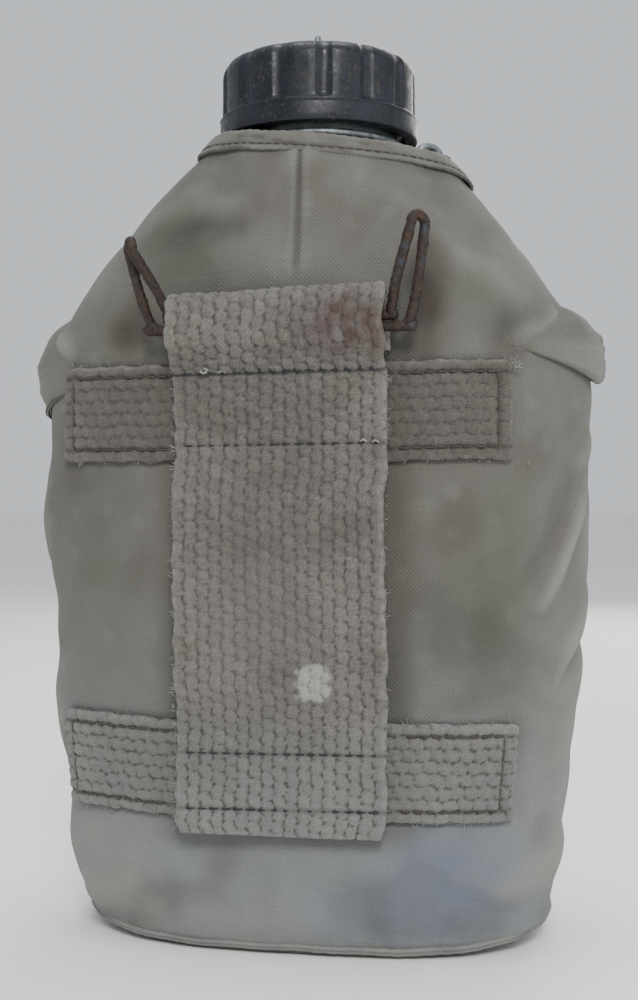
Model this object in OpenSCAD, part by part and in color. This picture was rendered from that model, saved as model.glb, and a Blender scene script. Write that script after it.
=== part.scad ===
// Field canteen: a flat aluminium bottle with a screw cap and a chain, in a lined canvas cover
// with webbing straps and a wire belt hook. Millimetres, +Z up. The origin is the middle of the
// base. The back, with the belt webbing, faces -Y.

/* [Cover] */
// Width of the cover where it is widest
cover_w = 143; // [119:1:172]
// How far the cover draws in on each side towards its base
base_in = 12; // [4:0.5:16]
// How far the cover draws in on each side where the shoulders start
shoulder_in = 7; // [3:0.5:12]
// How far the cover's mouth stands off the neck at the sides, at its highest point
mouth_side_gap = 9.2; // [8.2:0.5:14.2]
// Thickness of the flatter back half, from the middle plane
back_t = 35.5; // [32:0.5:40]
// Thickness of the rounder front half, from the middle plane
front_t = 38; // [33:0.5:44]
// How far the cover's mouth stands off the neck at the front and back
mouth_gap = 6; // [5.5:0.5:9]
// Height where the cover is widest
wide_z = 136; // [115:1:140]
// Height where the shoulders start
shoulder_z = 160; // [152:1:166]
// Height of the mouth at the middle of the back
mouth_z = 202.5; // [195:0.5:245]
// How much higher the mouth is on the left than in the middle
mouth_tilt = 4; // [2:0.5:4]
// Thickness of the canvas
canvas_t = 1.2; // [0.8:0.1:1.4]
// Thickness of the felt lining
felt_t = 1.6; // [1:0.1:1.8]

/* [Bottle] */
// Wall of the aluminium bottle
wall_t = 1.2; // [0.8:0.1:2]
// Outer radius of the threaded neck
neck_r = 21; // [17:0.5:26]
// Wall of the neck
neck_wall = 2.4; // [1.8:0.1:3]
// How far below the cover's mouth the bottle's neck starts
neck_sink = 5; // [4:0.5:7]
// Length of the neck
neck_h = 24.5; // [23:0.5:26]
// Thread lead, one turn's rise
thread_lead = 5; // [4.5:0.25:6]

/* [Cap] */
// Wall of the cap at its collar
cap_wall = 3.1; // [2.4:0.1:4]
// Height of the collar
collar_h = 6; // [4:0.5:8]
// How far the fluted side stands in from the collar
flute_inset = 0.6; // [0.3:0.1:1]
// Number of flutes
flutes = 14; // [10:1:18]
// Depth of a flute
flute_depth = 0.9; // [0.5:0.1:1.2]
// Thickness of the cap's top
cap_top_t = 2.8; // [2.2:0.1:4]
// Thickness of the seal
seal_t = 2.3; // [1.8:0.1:2.6]

/* [Chain] */
// Wire diameter of the chain
chain_wire = 1.8; // [1.5:0.1:2.2]
// Length of a link, between the middles of its end wires
link_l = 10.4; // [9:0.1:12.5]
// Room in a link for its neighbour's wire
link_play = 0.8; // [0.6:0.1:1.4]

/* [Webbing] */
// Width of the belt webbing
belt_w = 51.5; // [44:0.5:56]
// Thickness of the belt webbing
belt_t = 2.4; // [1.8:0.1:2.6]
// Sideways place of the belt webbing's middle
belt_x = -2.5; // [-6:0.5:6]
// Height of the belt webbing's lower end
belt_low_z = 30.6; // [26:0.5:34]
// Width of the cross straps
strap_w = 24; // [20:1:26]
// How far the cross straps reach to the left from the middle
strap_reach_left = 57; // [48:1:60]
// How far the cross straps reach to the right from the middle
strap_reach_right = 50; // [46:1:60]
// Thickness of the cross straps
strap_t = 2.2; // [1.6:0.1:2.4]
// Height of the lower strap's lower edge
lower_strap_z = 34; // [32:1:40]
// Height of the upper strap's lower edge
upper_strap_z = 121; // [115:1:122]
// How far the belt loop stands off the canvas
loop_gap = 5.4; // [4.8:0.1:7]

/* [Belt hook] */
// Wire diameter of the hook
hook_wire = 2.3; // [1.8:0.1:2.3]
// Distance between the two wires of the hook's bar
bar_pitch = 2.6; // [2.5:0.1:2.7]
// How far the hook's bar is below the shoulders
hook_drop = 6; // [4:0.5:7]
// Distance between the two wires of a prong
prong_pitch = 4.8; // [4:0.1:6]
// How far the right prong rises
right_rise = 20; // [14:1:24]
// How far the left prong rises
left_rise = 15; // [12:1:24]

/* [Snaps] */
// Outer radius of a snap's cap
snap_r = 6.3; // [5.6:0.1:7]
// Place of a snap round the cover, in degrees from the side
snap_u = 61; // [58:1:64]
// How far a snap is below the shoulders
snap_drop = 16; // [16:0.5:18]

/* [Hidden] */

canvas_colour = "#6b675c";
felt_colour = "#8a8577";
webbing_colour = "#757068";
steel_colour = "#8d9194";
aluminium_colour = "#7c8484";
rust_colour = "#4a3a30";
brass_colour = "#6e6244";

// clearances
fit = 0.15;          // between sewn layers
seam = 0.4;          // degrees left open at a seam
bottle_play = 1.5;   // between the lining and the bottle
felt_gap = 0.4;      // between the canvas and the lining

// cover's outline
base_w = cover_w - 2*base_in;
shoulder_w = cover_w - 2*shoulder_in;
mouth_w = 2*(neck_r + mouth_side_gap);
mouth_t = 2*(neck_r + mouth_gap);
foot_z = 25;         // height over which the base swells to the full thickness
foot_in = 3.5;       // how much thinner the base is on each side
slope_z = 140;       // where the thickness starts to draw in to the mouth
back_round = 3.2;    // superellipse powers: boxy back, rounder front, nearly oval mouth
front_round = 2.4;
mouth_round = 2.2;
shoulder_bulge = 1.2;
mouth_high_z = mouth_z + mouth_tilt;
split_z = shoulder_z - 9;    // top of the front panel, where the back panel starts to wrap round
side_seam = 10;      // degrees that the back panel reaches past the side
wrap_seam = 38;      // the same at the shoulders
base_t = canvas_t;
wall_z = base_t + 0.2;

felt_out = -canvas_t - felt_gap;
felt_in = felt_out - felt_t;
bottle_off = felt_in - bottle_play;
bottle_z = wall_z + felt_t + 2*fit + 0.3;

// neck and cap
neck_base_z = mouth_z - neck_sink;
neck_top_z = neck_base_z + neck_h;
cap_in_r = neck_r + 2.2;
collar_r = cap_in_r + cap_wall;
thread_turns = 1.25;
thread_z = neck_base_z + 11.5;
seal_gap = 0.25;
cap_ceiling_z = neck_top_z + seal_gap + seal_t + 0.2;
cap_top_z = cap_ceiling_z + cap_top_t;
rim_drop = 15.4;     // how far the cap's rim hangs below the neck's top
cap_rim_z = neck_top_z - rim_drop;
rivet_r = 1.5;
rivet_hole_r = 1.56;

// neck ring, its eye and the chain
ring_wire_r = 1.1;
ring_r = neck_r + ring_wire_r + 0.1;
chain_z = mouth_z + 2;
eye_u = 22;          // direction of the eye
eye_pitch_r = ring_wire_r + chain_wire/2 + 1.3;
eye_centre_r = ring_r + eye_pitch_r + 5;
link_w = 2*chain_wire + link_play;
hook_in = chain_wire + 0.3;  // how far a link's end wire reaches past its neighbour's
chain_start = [ring_r + 10.5, chain_z];
swivel_wire_r = 1;
swivel_half_w = swivel_wire_r + chain_wire/2 + 0.7;
swivel_bar_z = cap_top_z + chain_wire + 3.6;
// shape of the nine free links: their directions, in degrees up from straight forward
chain_shape = [15, 58, 96, 123, 145.5, 167.5, 184, 190, 184];

// straps and belt webbing
strap_off = 0.35;
belt_in = back_t + strap_off + strap_t + 0.3;
hook_z = shoulder_z - hook_drop;
fold_z = hook_z + 3;
fold_play = 0.65;    // between the hook's bar and the webbing folded over it
fold_r = (bar_pitch + hook_wire + belt_t)/2 + fold_play;  // to the middle of the webbing
tail_y = back_t + 0.45 + belt_t/2;    // the webbing's inner end, behind the fold
fold_y = tail_y + fold_r;
snap_z = shoulder_z - snap_drop;

left = 180;          // directions round the cover: 0 is +X, 90 the front, 270 the back
back = 270;

function lerp(a, b, t) = a + (b - a)*t;

// half width and half thickness of the cover at height z
function half_w(z) =
    z <= wide_z ? lerp(base_w, cover_w, pow(sin(90*max(z, 0)/wide_z), 0.85))/2
    : z <= shoulder_z ? lerp(cover_w, shoulder_w, pow((z - wide_z)/(shoulder_z - wide_z), 2.4))/2
    : let (s = (z - shoulder_z)/(mouth_high_z - shoulder_z))
        lerp(shoulder_w, mouth_w, s)/2 + shoulder_bulge*4*s*(1 - s);
function half_t(z, full) =
    z < foot_z ? full - foot_in*(1 - sin(90*max(z, 0)/foot_z))
    : z <= slope_z ? full
    : full - (full - mouth_t/2)*pow((z - slope_z)/(mouth_z - slope_z), 2.2);
function roundness(z, body) =
    lerp(body, mouth_round, min(1, max(0, (z - shoulder_z)/(mouth_z - shoulder_z))));

// point of the cover's surface in direction u at height z, moved outward by off
function skin(u, z, off) = let (
    rear = sin(u) < 0,
    a = half_w(z) + off,
    b = half_t(z, rear ? back_t : front_t) + off,
    n = roundness(z, rear ? back_round : front_round),
    k = pow(pow(abs(cos(u)), n) + pow(abs(sin(u)), n), -1/n)
) [a*k*cos(u), b*k*sin(u), z];
function skin_normal(u, z) = let (
    along = skin(u + 1, z, 0) - skin(u - 1, z, 0),
    up = skin(u, z + 1, 0) - skin(u, z - 1, 0),
    n = cross(along, up)
) n/norm(n);
function mouth_top(u) = mouth_z - mouth_tilt*cos(u);

// heights of the rows that all layers share: 12 up to the front panel's top, then 7 to the mouth
function level(k) = lerp(wall_z, split_z, k/12);
function upper_level(k, top) = lerp(split_z, top, k/7);

// closed solid through rings of points; each ring runs right-handed about the way they follow.
// The two halves of a ring split their squares on the same diagonal, so that layers nest.
module loft(rings) {
    n = len(rings[0]);
    last = (len(rings) - 1)*n;
    sides = [for (i = [0:len(rings) - 2], j = [0:n - 1]) let (
        a = i*n + j, b = i*n + (j + 1)%n, c = b + n, d = a + n)
        each j < n/2 ? [[a, c, b], [a, d, c]] : [[a, d, b], [b, d, c]]];
    start = [for (k = [0:n/2 - 2]) each
        [[k, k + 1, n - 2 - k], [k, n - 2 - k, n - 1 - k]]];
    end = [for (f = start) [last + f[0], last + f[2], last + f[1]]];
    polyhedron(points = [for (r = rings) each r], faces = concat(sides, start, end));
}

// sheet on the cover's surface: place(p, q) gives [u, z] for p and q from 0 to 1
module sheet(place, low, thick, nu, nz) {
    function off(p, q) = is_function(low) ? low(p, q) : low;
    function at(p, q, t) = let (w = place(p, q)) skin(w[0], w[1], off(p, q) + t);
    loft([for (i = [0:nu]) concat(
        [for (j = [0:nz]) at(i/nu, j/nz, 0)],
        [for (j = [nz:-1:0]) at(i/nu, j/nz, thick)])]);
}

// round tube along a path, framed by a fixed direction that the path never follows
module tube(path, r, ref, sides = 8) {
    m = len(path) - 1;
    loft([for (i = [0:m]) let (
        t = path[min(m, i + 1)] - path[max(0, i - 1)],
        s = cross(ref, t)/norm(cross(ref, t)),
        w = cross(t, s)/norm(t)
    ) [for (k = [0:sides - 1]) path[i] + r*(cos(360*k/sides)*s + sin(360*k/sides)*w)]]);
}

module along_normal(u, z) {
    n = skin_normal(u, z);
    translate(skin(u, z, 0)) rotate([0, acos(n[2]), atan2(n[1], n[0])]) children();
}

module mirrored_snaps() {
    for (u = [snap_u, left - snap_u]) along_normal(u, snap_z) children();
}

// ---- bottle ----

module bottle_shell() {
    dome_z = mouth_z - 16.5;
    corner = 3;
    columns = 48;
    inner_neck_r = neck_r - neck_wall;
    function ring(z, off) = [for (i = [0:columns - 1]) skin(360*i/columns, z, off)];
    function dome(w, off, r) = [for (i = [0:columns - 1]) let (
        u = 360*i/columns,
        p = lerp(skin(u, dome_z, off), [r*cos(u), r*sin(u), 0], w)
    ) [p[0], p[1], lerp(dome_z + off - bottle_off, neck_base_z + off - bottle_off, sin(90*w))]];
    body_z = concat([for (k = [1:12]) level(k)],
        [for (k = [1:7]) let (z = upper_level(k, mouth_z)) if (z < dome_z - 3) z]);
    inner_off = bottle_off - wall_t;
    outer = concat(
        [ring(bottle_z, bottle_off - corner), ring(bottle_z + corner/3, bottle_off - corner/3),
            ring(bottle_z + corner, bottle_off)],
        [for (z = body_z) ring(z, bottle_off)],
        [for (w = [0, 0.4, 0.75, 1]) dome(w, bottle_off, neck_r + 1.2)]);
    inner = concat(
        [for (w = [1, 0.75, 0.4, 0]) dome(w, inner_off, inner_neck_r)],
        [for (k = [len(body_z) - 1:-1:0]) ring(body_z[k], inner_off)],
        [ring(bottle_z + wall_t + corner, inner_off), ring(bottle_z + wall_t, inner_off - corner)]);
    color(aluminium_colour) loft(concat(outer, inner));
}

// one helical ridge: from radius r0 in the wall to its crest at r1
module thread(z0, r0, r1) {
    steps = 30;
    foot = 2.2;
    crest = 1.1;
    ridge = [for (i = [0:steps]) let (
        a = 360*thread_turns*i/steps,
        z = z0 + thread_lead*thread_turns*i/steps,
        c = cos(a), s = sin(a)
    ) [[r0*c, r0*s, z - foot/2], [r0*c, r0*s, z + foot/2],
        [r1*c, r1*s, z + crest/2], [r1*c, r1*s, z - crest/2]]];
    loft([for (r = ridge) r1 > r0 ? r : [r[3], r[2], r[1], r[0]]]);
}

module neck_spout() {
    flange_r = neck_r + 1.1;
    lip = 0.6;
    base = neck_base_z + 0.1;
    color(aluminium_colour) union() {
        rotate_extrude($fn = 72) polygon([
            [neck_r - neck_wall, base], [flange_r, base], [flange_r, base + 1.2],
            [neck_r, base + 2.2], [neck_r, neck_top_z - lip], [neck_r - lip, neck_top_z],
            [neck_r - neck_wall + lip, neck_top_z], [neck_r - neck_wall, neck_top_z - lip]]);
        thread(thread_z, neck_r - 0.3, neck_r + 1.6);
    }
}

// ---- neck ring and chain ----

module ring_of_wire(pitch_r, wire_r) {
    rotate_extrude($fn = 64) translate([pitch_r, 0]) circle(wire_r, $fn = 24);
}

module neck_ring() {
    color(steel_colour) union() {
        translate([0, 0, chain_z]) ring_of_wire(ring_r, ring_wire_r);
        rotate([0, 0, eye_u]) {
            translate([ring_r, 0, chain_z]) rotate([0, 90, 0])
                cylinder(h = eye_centre_r - eye_pitch_r - ring_r, r = ring_wire_r, $fn = 24);
            translate([eye_centre_r, 0, chain_z]) rotate([90, 0, 0])
                ring_of_wire(eye_pitch_r, ring_wire_r);
        }
    }
}

// oval link along +X from x = 0 to x = l, lying in the XY plane
module oval_link(l, w, wire) {
    r = w/2;
    straight = l - w;
    for (x = [r, l - r]) translate([x, 0, 0]) rotate([0, 0, x == r ? 90 : -90])
        rotate_extrude(angle = 180, $fn = 48) translate([r, 0]) circle(d = wire, $fn = 20);
    for (y = [-r, r]) translate([r, y, 0]) rotate([0, 90, 0])
        cylinder(h = straight, d = wire, $fn = 20);
}

// links that lie round the neck: they hook into the eye and end across the front
step_u = [eye_u, 32.8, 51, 62, 81];
chain_r0 = eye_centre_r + eye_pitch_r;
chain_r1 = (chain_start[0] - link_w/2)/sin(step_u[4]);
function ring_step(k) = let (r = lerp(chain_r0, chain_r1, (step_u[k] - eye_u)/(step_u[4] - eye_u)))
    [r*cos(step_u[k]), r*sin(step_u[k])];

module chain_lower_links() {
    color(steel_colour) {
        for (k = [0:3]) let (
            a = ring_step(k), b = ring_step(k + 1), d = b - a,
            flat = k%2 == 0, over = flat ? hook_in : 0)
            translate([a[0], a[1], chain_z]) rotate([0, 0, atan2(d[1], d[0])])
                rotate([flat ? 0 : 90, 0, 0]) translate([-over, 0, 0])
                    oval_link(norm(d) + 2*over, link_w, chain_wire);
        last = ring_step(4);
        translate([last[0] + hook_in, chain_start[0] - link_w/2, chain_z])
            rotate([0, 0, 180]) oval_link(link_l, link_w, chain_wire);
    }
}

// free links: odd ones lie in the chain's plane and hook round the ends of the even ones.
// The chain's shape is bent more or less, and turned, until its two ends meet the start and
// the swivel's bar.
function in_plane(k) = k%2 == 0;
function link_span(k) = in_plane(k) ? link_l - 2*hook_in : link_l;
function chain_reach(bend, count) = count == 0 ? [0, 0]
    : chain_reach(bend, count - 1) + link_span(count - 1)
        *[cos(bend*chain_shape[count - 1]), sin(bend*chain_shape[count - 1])];
chain_goal = [-chain_start[0], swivel_bar_z - chain_start[1]];
function chain_bend(low, high, tries) = let (mid = (low + high)/2)
    tries == 0 ? mid
    : norm(chain_reach(mid, 9)) > norm(chain_goal) ? chain_bend(mid, high, tries - 1)
    : chain_bend(low, mid, tries - 1);
bend = chain_bend(0.5, 1.5, 20);
straight_end = chain_reach(bend, 9);
chain_turn = atan2(chain_goal[1], chain_goal[0]) - atan2(straight_end[1], straight_end[0]);
function turned(p) = [p[0]*cos(chain_turn) - p[1]*sin(chain_turn),
    p[0]*sin(chain_turn) + p[1]*cos(chain_turn)];

module chain_link(number) {
    k = number - 1;
    p = chain_start + turned(chain_reach(bend, k));
    color(steel_colour) translate([0, p[0], p[1]]) rotate([bend*chain_shape[k] + chain_turn, 0, 0])
        rotate([0, 0, 90]) rotate([in_plane(k) ? 90 : 0, 0, 0])
            translate([in_plane(k) ? -hook_in : 0, 0, 0])
                oval_link(link_l, link_w, chain_wire);
}

// ---- cap ----

module cap_shell() {
    side_r = collar_r - flute_inset;
    edge_r = 4;
    ridge = 0.5;
    cutter_r = 3;
    rim = 0.5;
    color("#24262c") difference() {
        union() {
            difference() {
                rotate_extrude($fn = 96) polygon(concat(
                    [[rivet_hole_r, cap_ceiling_z], [cap_in_r, cap_ceiling_z],
                        [cap_in_r, cap_rim_z], [collar_r - rim, cap_rim_z],
                        [collar_r, cap_rim_z + rim], [collar_r, cap_rim_z + collar_h - ridge],
                        [side_r, cap_rim_z + collar_h]],
                    [for (a = [0:15:90]) [side_r - edge_r + edge_r*cos(a),
                        cap_top_z - edge_r + edge_r*sin(a)]],
                    [[rivet_hole_r, cap_top_z]]));
                for (i = [0:flutes - 1]) rotate([0, 0, 360*i/flutes])
                    translate([side_r + cutter_r - flute_depth, 0, cap_rim_z + collar_h])
                        cylinder(h = cap_top_z, r = cutter_r, $fn = 32);
            }
            thread(thread_z + thread_lead/2, cap_in_r + 0.3, cap_in_r - 1.6);
        }
    }
}

module cap_seal() {
    color("#3a3532") translate([0, 0, neck_top_z + seal_gap]) difference() {
        cylinder(h = seal_t, r = cap_in_r - 0.3, $fn = 72);
        translate([0, 0, -1]) cylinder(h = seal_t + 2, r = 4.6, $fn = 48);
    }
}

// rivet through the cap's top with an arched eye for the chain
module cap_swivel() {
    head_r = 4;
    head_t = 1.1;
    arch_z = swivel_bar_z - swivel_half_w;
    color(steel_colour) {
        translate([0, 0, cap_ceiling_z - head_t - 0.1]) cylinder(h = head_t, r = head_r, $fn = 48);
        translate([0, 0, cap_ceiling_z - head_t]) cylinder(h = cap_top_t + 2, r = rivet_r, $fn = 48);
        translate([0, 0, cap_top_z + 0.15]) cylinder(h = 1, r = head_r, $fn = 48);
        for (x = [-1, 1]) translate([x*swivel_half_w, 0, cap_top_z + 0.6])
            cylinder(h = arch_z - cap_top_z - 0.6, r = swivel_wire_r, $fn = 24);
        translate([0, 0, arch_z]) rotate([90, 0, 0])
            rotate_extrude(angle = 180, $fn = 48) translate([swivel_half_w, 0])
                circle(swivel_wire_r, $fn = 24);
    }
}

// ---- cover ----

// the back panel wraps round both sides, and further round at the shoulders
function back_place(low_z, drop) = function (p, q)
    let (
        k = q*19,
        lower = k <= 12,
        rough = lower ? level(k) : upper_level(k - 12, mouth_z),
        edge = lerp(side_seam, wrap_seam, min(1, max(0, (rough - split_z)/8))),
        u = left - edge + p*(180 + 2*edge),
        z = lower ? max(rough, low_z) : min(upper_level(k - 12, mouth_top(u)), mouth_top(u) - drop)
    ) [u, z];
function front_place(low_z, top_z) = function (p, q)
    [side_seam + seam + p*(180 - 2*(side_seam + seam)), max(low_z, min(top_z, level(12*q)))];

module back_panel() {
    color(canvas_colour) sheet(back_place(wall_z, 0), -canvas_t, canvas_t, 30, 19);
}

module front_panel() {
    color(canvas_colour) difference() {
        sheet(front_place(wall_z, split_z - 0.5), -canvas_t, canvas_t, 24, 12);
        mirrored_snaps() translate([0, 0, -5]) cylinder(h = 10, r = 2.1, $fn = 32);
    }
}

module outline(z, off) {
    polygon([for (i = [0:71]) let (p = skin(5*i, z, off)) [p[0], p[1]]]);
}

module base_panel() {
    color(canvas_colour) linear_extrude(base_t) outline(0, -0.1);
}

module base_piping() {
    piping_r = 0.9;
    piping_z = 1.6;
    turn = [for (i = [0:60]) let (p = skin(back + 359.6*i/60, piping_z, 1.1)) p];
    color(canvas_colour) tube(turn, piping_r, [0, 0, 1], 6);
}

module lining_back() {
    color(felt_colour) sheet(back_place(bottle_z, 4.8), felt_in, felt_t, 30, 19);
}

module lining_front() {
    color(felt_colour) difference() {
        sheet(front_place(bottle_z, split_z - 3), felt_in, felt_t, 24, 12);
        mirrored_snaps() translate([0, 0, -8]) cylinder(h = 10, r = 5.4, $fn = 32);
    }
}

module lining_base() {
    color(felt_colour) translate([0, 0, base_t + fit]) linear_extrude(felt_t) outline(0, felt_out - 0.2);
}

// bound edge of the mouth, a channel over the back panel's top
module neck_binding() {
    depth = 4;
    tape = 0.95;
    out = fit;
    in = -canvas_t - fit;
    channel = [[out, -depth], [out, fit], [in, fit], [in, -depth],
        [in - tape, -depth], [in - tape, fit + tape], [out + tape, fit + tape], [out + tape, -depth]];
    color(webbing_colour) loft([for (i = [0:30])
        let (u = left - wrap_seam + i/30*(180 + 2*wrap_seam), top = mouth_top(u))
            [for (c = channel) skin(u, top + c[1], c[0])]]);
}

// front flap: hinged along the shoulder, narrowing down to the snap
hinge_u = 42;
flap_top_z = mouth_z - 4;
flap_low_z = shoulder_z - 23;
flap_off = 1;
flap_place = function (p, q) let (
    edge = hinge_u + 11*pow(1 - q, 2),
    inner = lerp(70, 80, q)
) [lerp(edge, inner, p), lerp(flap_low_z, flap_top_z, q)];

module flap_solid() {
    difference() {
        sheet(flap_place, flap_off, canvas_t, 8, 9);
        along_normal(snap_u, snap_z) translate([0, 0, -2]) cylinder(h = 8, r = 3.4, $fn = 32);
    }
}

module flap_right() {
    color(canvas_colour) flap_solid();
}

module flap_left() {
    color(canvas_colour) mirror([1, 0, 0]) flap_solid();
}

// folded corner of the shoulder, standing off at its lower edge
module shoulder_fold(side_u) {
    low_z = shoulder_z - 19;
    top_z = shoulder_z + 3;
    lowest = 0.5;
    stand = 2.4;
    place = function (p, q) [side_u + lerp(-24, 24, p), lerp(low_z, top_z, q)];
    lift = function (p, q) lowest + stand*(1 - q)*sin(180*p);
    color(canvas_colour) sheet(place, lift, canvas_t, 10, 5);
}

// ---- webbing ----

// direction of the point of the back face at sideways distance x
function reach_u(x, z) = let (r = x/half_w(z)) atan(pow(1 - pow(r, back_round), 1/back_round)/r);

module cross_strap(low_z) {
    place = function (p, q) let (
        z = low_z + strap_w*q,
        from = left + reach_u(strap_reach_left, z),
        to = 360 - reach_u(strap_reach_right, z)
    ) [lerp(from, to, p), z];
    color(webbing_colour) sheet(place, strap_off, strap_t, 18, 2);
}

// side profile of the belt webbing, as distances behind the middle plane and heights
module belt_webbing() {
    mid = belt_in + belt_t/2;
    loop = max(mid, back_t + loop_gap + belt_t/2);
    run_in = 8;
    inner_low_z = upper_strap_z + strap_w + 2;
    lower_top = lower_strap_z + strap_w;
    route = concat(
        [[mid, belt_low_z], [mid, lower_top + 1], [loop, lower_top + 1 + run_in],
            [loop, upper_strap_z - 1 - run_in], [mid, upper_strap_z - 1],
            [mid, upper_strap_z + strap_w - 3], [fold_y + fold_r, upper_strap_z + strap_w + 5]],
        [for (a = [0:20:180]) [fold_y + fold_r*cos(a), fold_z + fold_r*sin(a)]],
        [[tail_y, inner_low_z]]);
    last = len(route) - 1;
    function way(i) = let (d = route[min(last, i + 1)] - route[max(0, i - 1)]) d/norm(d);
    function edge(i, s) = route[i] + s*belt_t/2*[way(i)[1], -way(i)[0]];
    color(webbing_colour) translate([belt_x - belt_w/2, 0, 0]) rotate([90, 0, 90])
        linear_extrude(belt_w) polygon([for (p = concat(
            [for (i = [0:last]) edge(i, 1)], [for (i = [last:-1:0]) edge(i, -1)])) [-p[0], p[1]]]);
}

// ---- belt hook: one wire, bent to a double bar and two double prongs ----

function hook_side(s, rise, reach) = let (
    bar = bar_pitch/2,
    x0 = belt_w/2 + 1.2,
    run = 5,
    half = prong_pitch/2,
    bend = 1.2,
    inner = [x0 - 1, 0, bar],
    outer = [x0 + prong_pitch - 2, 0, -bar],
    lean = [run, -reach, rise],
    tip = [x0 + half - 0.4, 0, bar] + lean
) [for (p = concat(
    [inner, inner + [bend, -0.6, 1.4]],
    [for (a = [180:-30:0]) tip + [half*cos(a), -0.6*sin(a), half*sin(a)]],
    [outer + [bend + 0.9, -0.4, 2.2], outer + [0.6, 0, 0.4], outer + [-1.4, 0, 0]]
)) [belt_x + s*p[0], -fold_y + p[1], hook_z + p[2]]];

module belt_hook() {
    bar = bar_pitch/2;
    gap = 0.3;
    right = hook_side(1, right_rise, 5);
    left_side = hook_side(-1, left_rise, 9);
    path = concat(
        [[belt_x + gap, -fold_y, hook_z + bar]], right,
        [for (i = [len(left_side) - 1:-1:0]) left_side[i]],
        [[belt_x - gap, -fold_y, hook_z + bar]]);
    color(rust_colour) tube(path, hook_wire/2, [0, 1, 0.25], 8);
}

// ---- snaps, drawn with the cover's surface at z = 0 ----

flap_out = flap_off + canvas_t;

module snap_cap_one() {
    skirt = 0.6;
    top = flap_out + 3.7;
    low = flap_out + 0.2;
    rotate_extrude($fn = 48) polygon([[snap_r - skirt, low], [snap_r, low], [snap_r, top - 1.6],
        [snap_r - 0.8, top - 0.5], [snap_r - 2.6, top], [0, top + 0.2],
        [0, top - skirt], [snap_r - 2.4, top - skirt - 0.1], [snap_r - skirt, top - 2]]);
}

module snap_socket_one() {
    low = flap_out + 0.2;
    rotate_extrude($fn = 48) polygon([[3.3, low], [snap_r - 0.9, low], [snap_r - 0.9, low + 0.5],
        [4.2, low + 0.6], [4, low + 1.2], [3.3, low + 1.2]]);
}

module snap_cap_right() {
    color(brass_colour) along_normal(snap_u, snap_z) snap_cap_one();
}

module snap_cap_left() {
    color(brass_colour) mirror([1, 0, 0]) along_normal(snap_u, snap_z) snap_cap_one();
}

module snap_socket_right() {
    color(brass_colour) along_normal(snap_u, snap_z) snap_socket_one();
}

module snap_socket_left() {
    color(brass_colour) mirror([1, 0, 0]) along_normal(snap_u, snap_z) snap_socket_one();
}

// studs stand through the front panel, and washers hold them on its inner side
stud_r = 1.8;
stud_low = -canvas_t - 1.2;

module snap_studs() {
    color(brass_colour) mirrored_snaps() rotate_extrude($fn = 40) polygon([
        [0, stud_low], [stud_r, stud_low], [stud_r, 0.2], [3, 0.2], [3, 0.75], [stud_r, 0.75],
        [stud_r, flap_out + 0.8], [2.2, flap_out + 1.2], [2.2, flap_out + 1.7],
        [1.6, flap_out + 2.2], [0, flap_out + 2.3]]);
}

module snap_washers() {
    color(brass_colour) mirrored_snaps() translate([0, 0, -canvas_t - 0.9]) difference() {
        cylinder(h = 0.6, r = 4.4, $fn = 40);
        translate([0, 0, -1]) cylinder(h = 3, r = stud_r + 0.05, $fn = 32);
    }
}

bottle_shell();
neck_spout();
neck_ring();
cap_shell();
cap_seal();
cap_swivel();
chain_lower_links();
chain_link(1);  // chain_link_1
chain_link(2);  // chain_link_2
chain_link(3);  // chain_link_3
chain_link(4);  // chain_link_4
chain_link(5);  // chain_link_5
chain_link(6);  // chain_link_6
chain_link(7);  // chain_link_7
chain_link(8);  // chain_link_8
chain_link(9);  // chain_link_9
back_panel();
front_panel();
base_panel();
base_piping();
neck_binding();
lining_back();
lining_front();
lining_base();
flap_left();
flap_right();
shoulder_fold(left);  // shoulder_fold_left
shoulder_fold(0);  // shoulder_fold_right
cross_strap(upper_strap_z);  // upper_cross_strap
cross_strap(lower_strap_z);  // lower_cross_strap
belt_webbing();
belt_hook();
snap_cap_left();
snap_cap_right();
snap_socket_left();
snap_socket_right();
snap_studs();
snap_washers();
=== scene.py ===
import math

import bpy
import numpy as np
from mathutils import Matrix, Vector


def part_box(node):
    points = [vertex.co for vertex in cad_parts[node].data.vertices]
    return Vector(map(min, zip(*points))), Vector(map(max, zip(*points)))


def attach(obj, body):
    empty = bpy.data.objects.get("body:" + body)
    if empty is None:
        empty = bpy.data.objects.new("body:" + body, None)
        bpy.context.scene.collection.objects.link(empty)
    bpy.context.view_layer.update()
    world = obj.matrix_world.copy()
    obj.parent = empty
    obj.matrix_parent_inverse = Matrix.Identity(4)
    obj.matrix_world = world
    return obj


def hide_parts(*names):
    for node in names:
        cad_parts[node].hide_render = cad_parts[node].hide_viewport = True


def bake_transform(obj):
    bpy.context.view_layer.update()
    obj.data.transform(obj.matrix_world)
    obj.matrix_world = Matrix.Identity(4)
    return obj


# Field canteen: faded cotton cover with webbing, a wire belt hook, an aluminium bottle and a screw cap.
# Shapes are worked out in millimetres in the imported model's frame and turned to metres when a mesh is made.

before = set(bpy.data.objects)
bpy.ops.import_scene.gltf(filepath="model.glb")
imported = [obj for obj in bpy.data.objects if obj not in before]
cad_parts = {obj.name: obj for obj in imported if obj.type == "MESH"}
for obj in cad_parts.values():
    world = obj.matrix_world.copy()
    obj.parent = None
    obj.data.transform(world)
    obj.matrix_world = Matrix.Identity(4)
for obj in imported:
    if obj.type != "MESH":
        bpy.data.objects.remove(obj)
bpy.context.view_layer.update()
mm = 0.001

studio = {
    "cameraAngle": 10.0,  # degrees to the right of straight behind
    "cameraDistance": 0.380,  # from the bottle's middle line
    "cameraHeight": 0.1116,
    "lens": 51.05,
    "floorColour": "#f4f3f0",
    "skyColour": "#e3e8ee",
    "skyStrength": 0.9,
}


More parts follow.
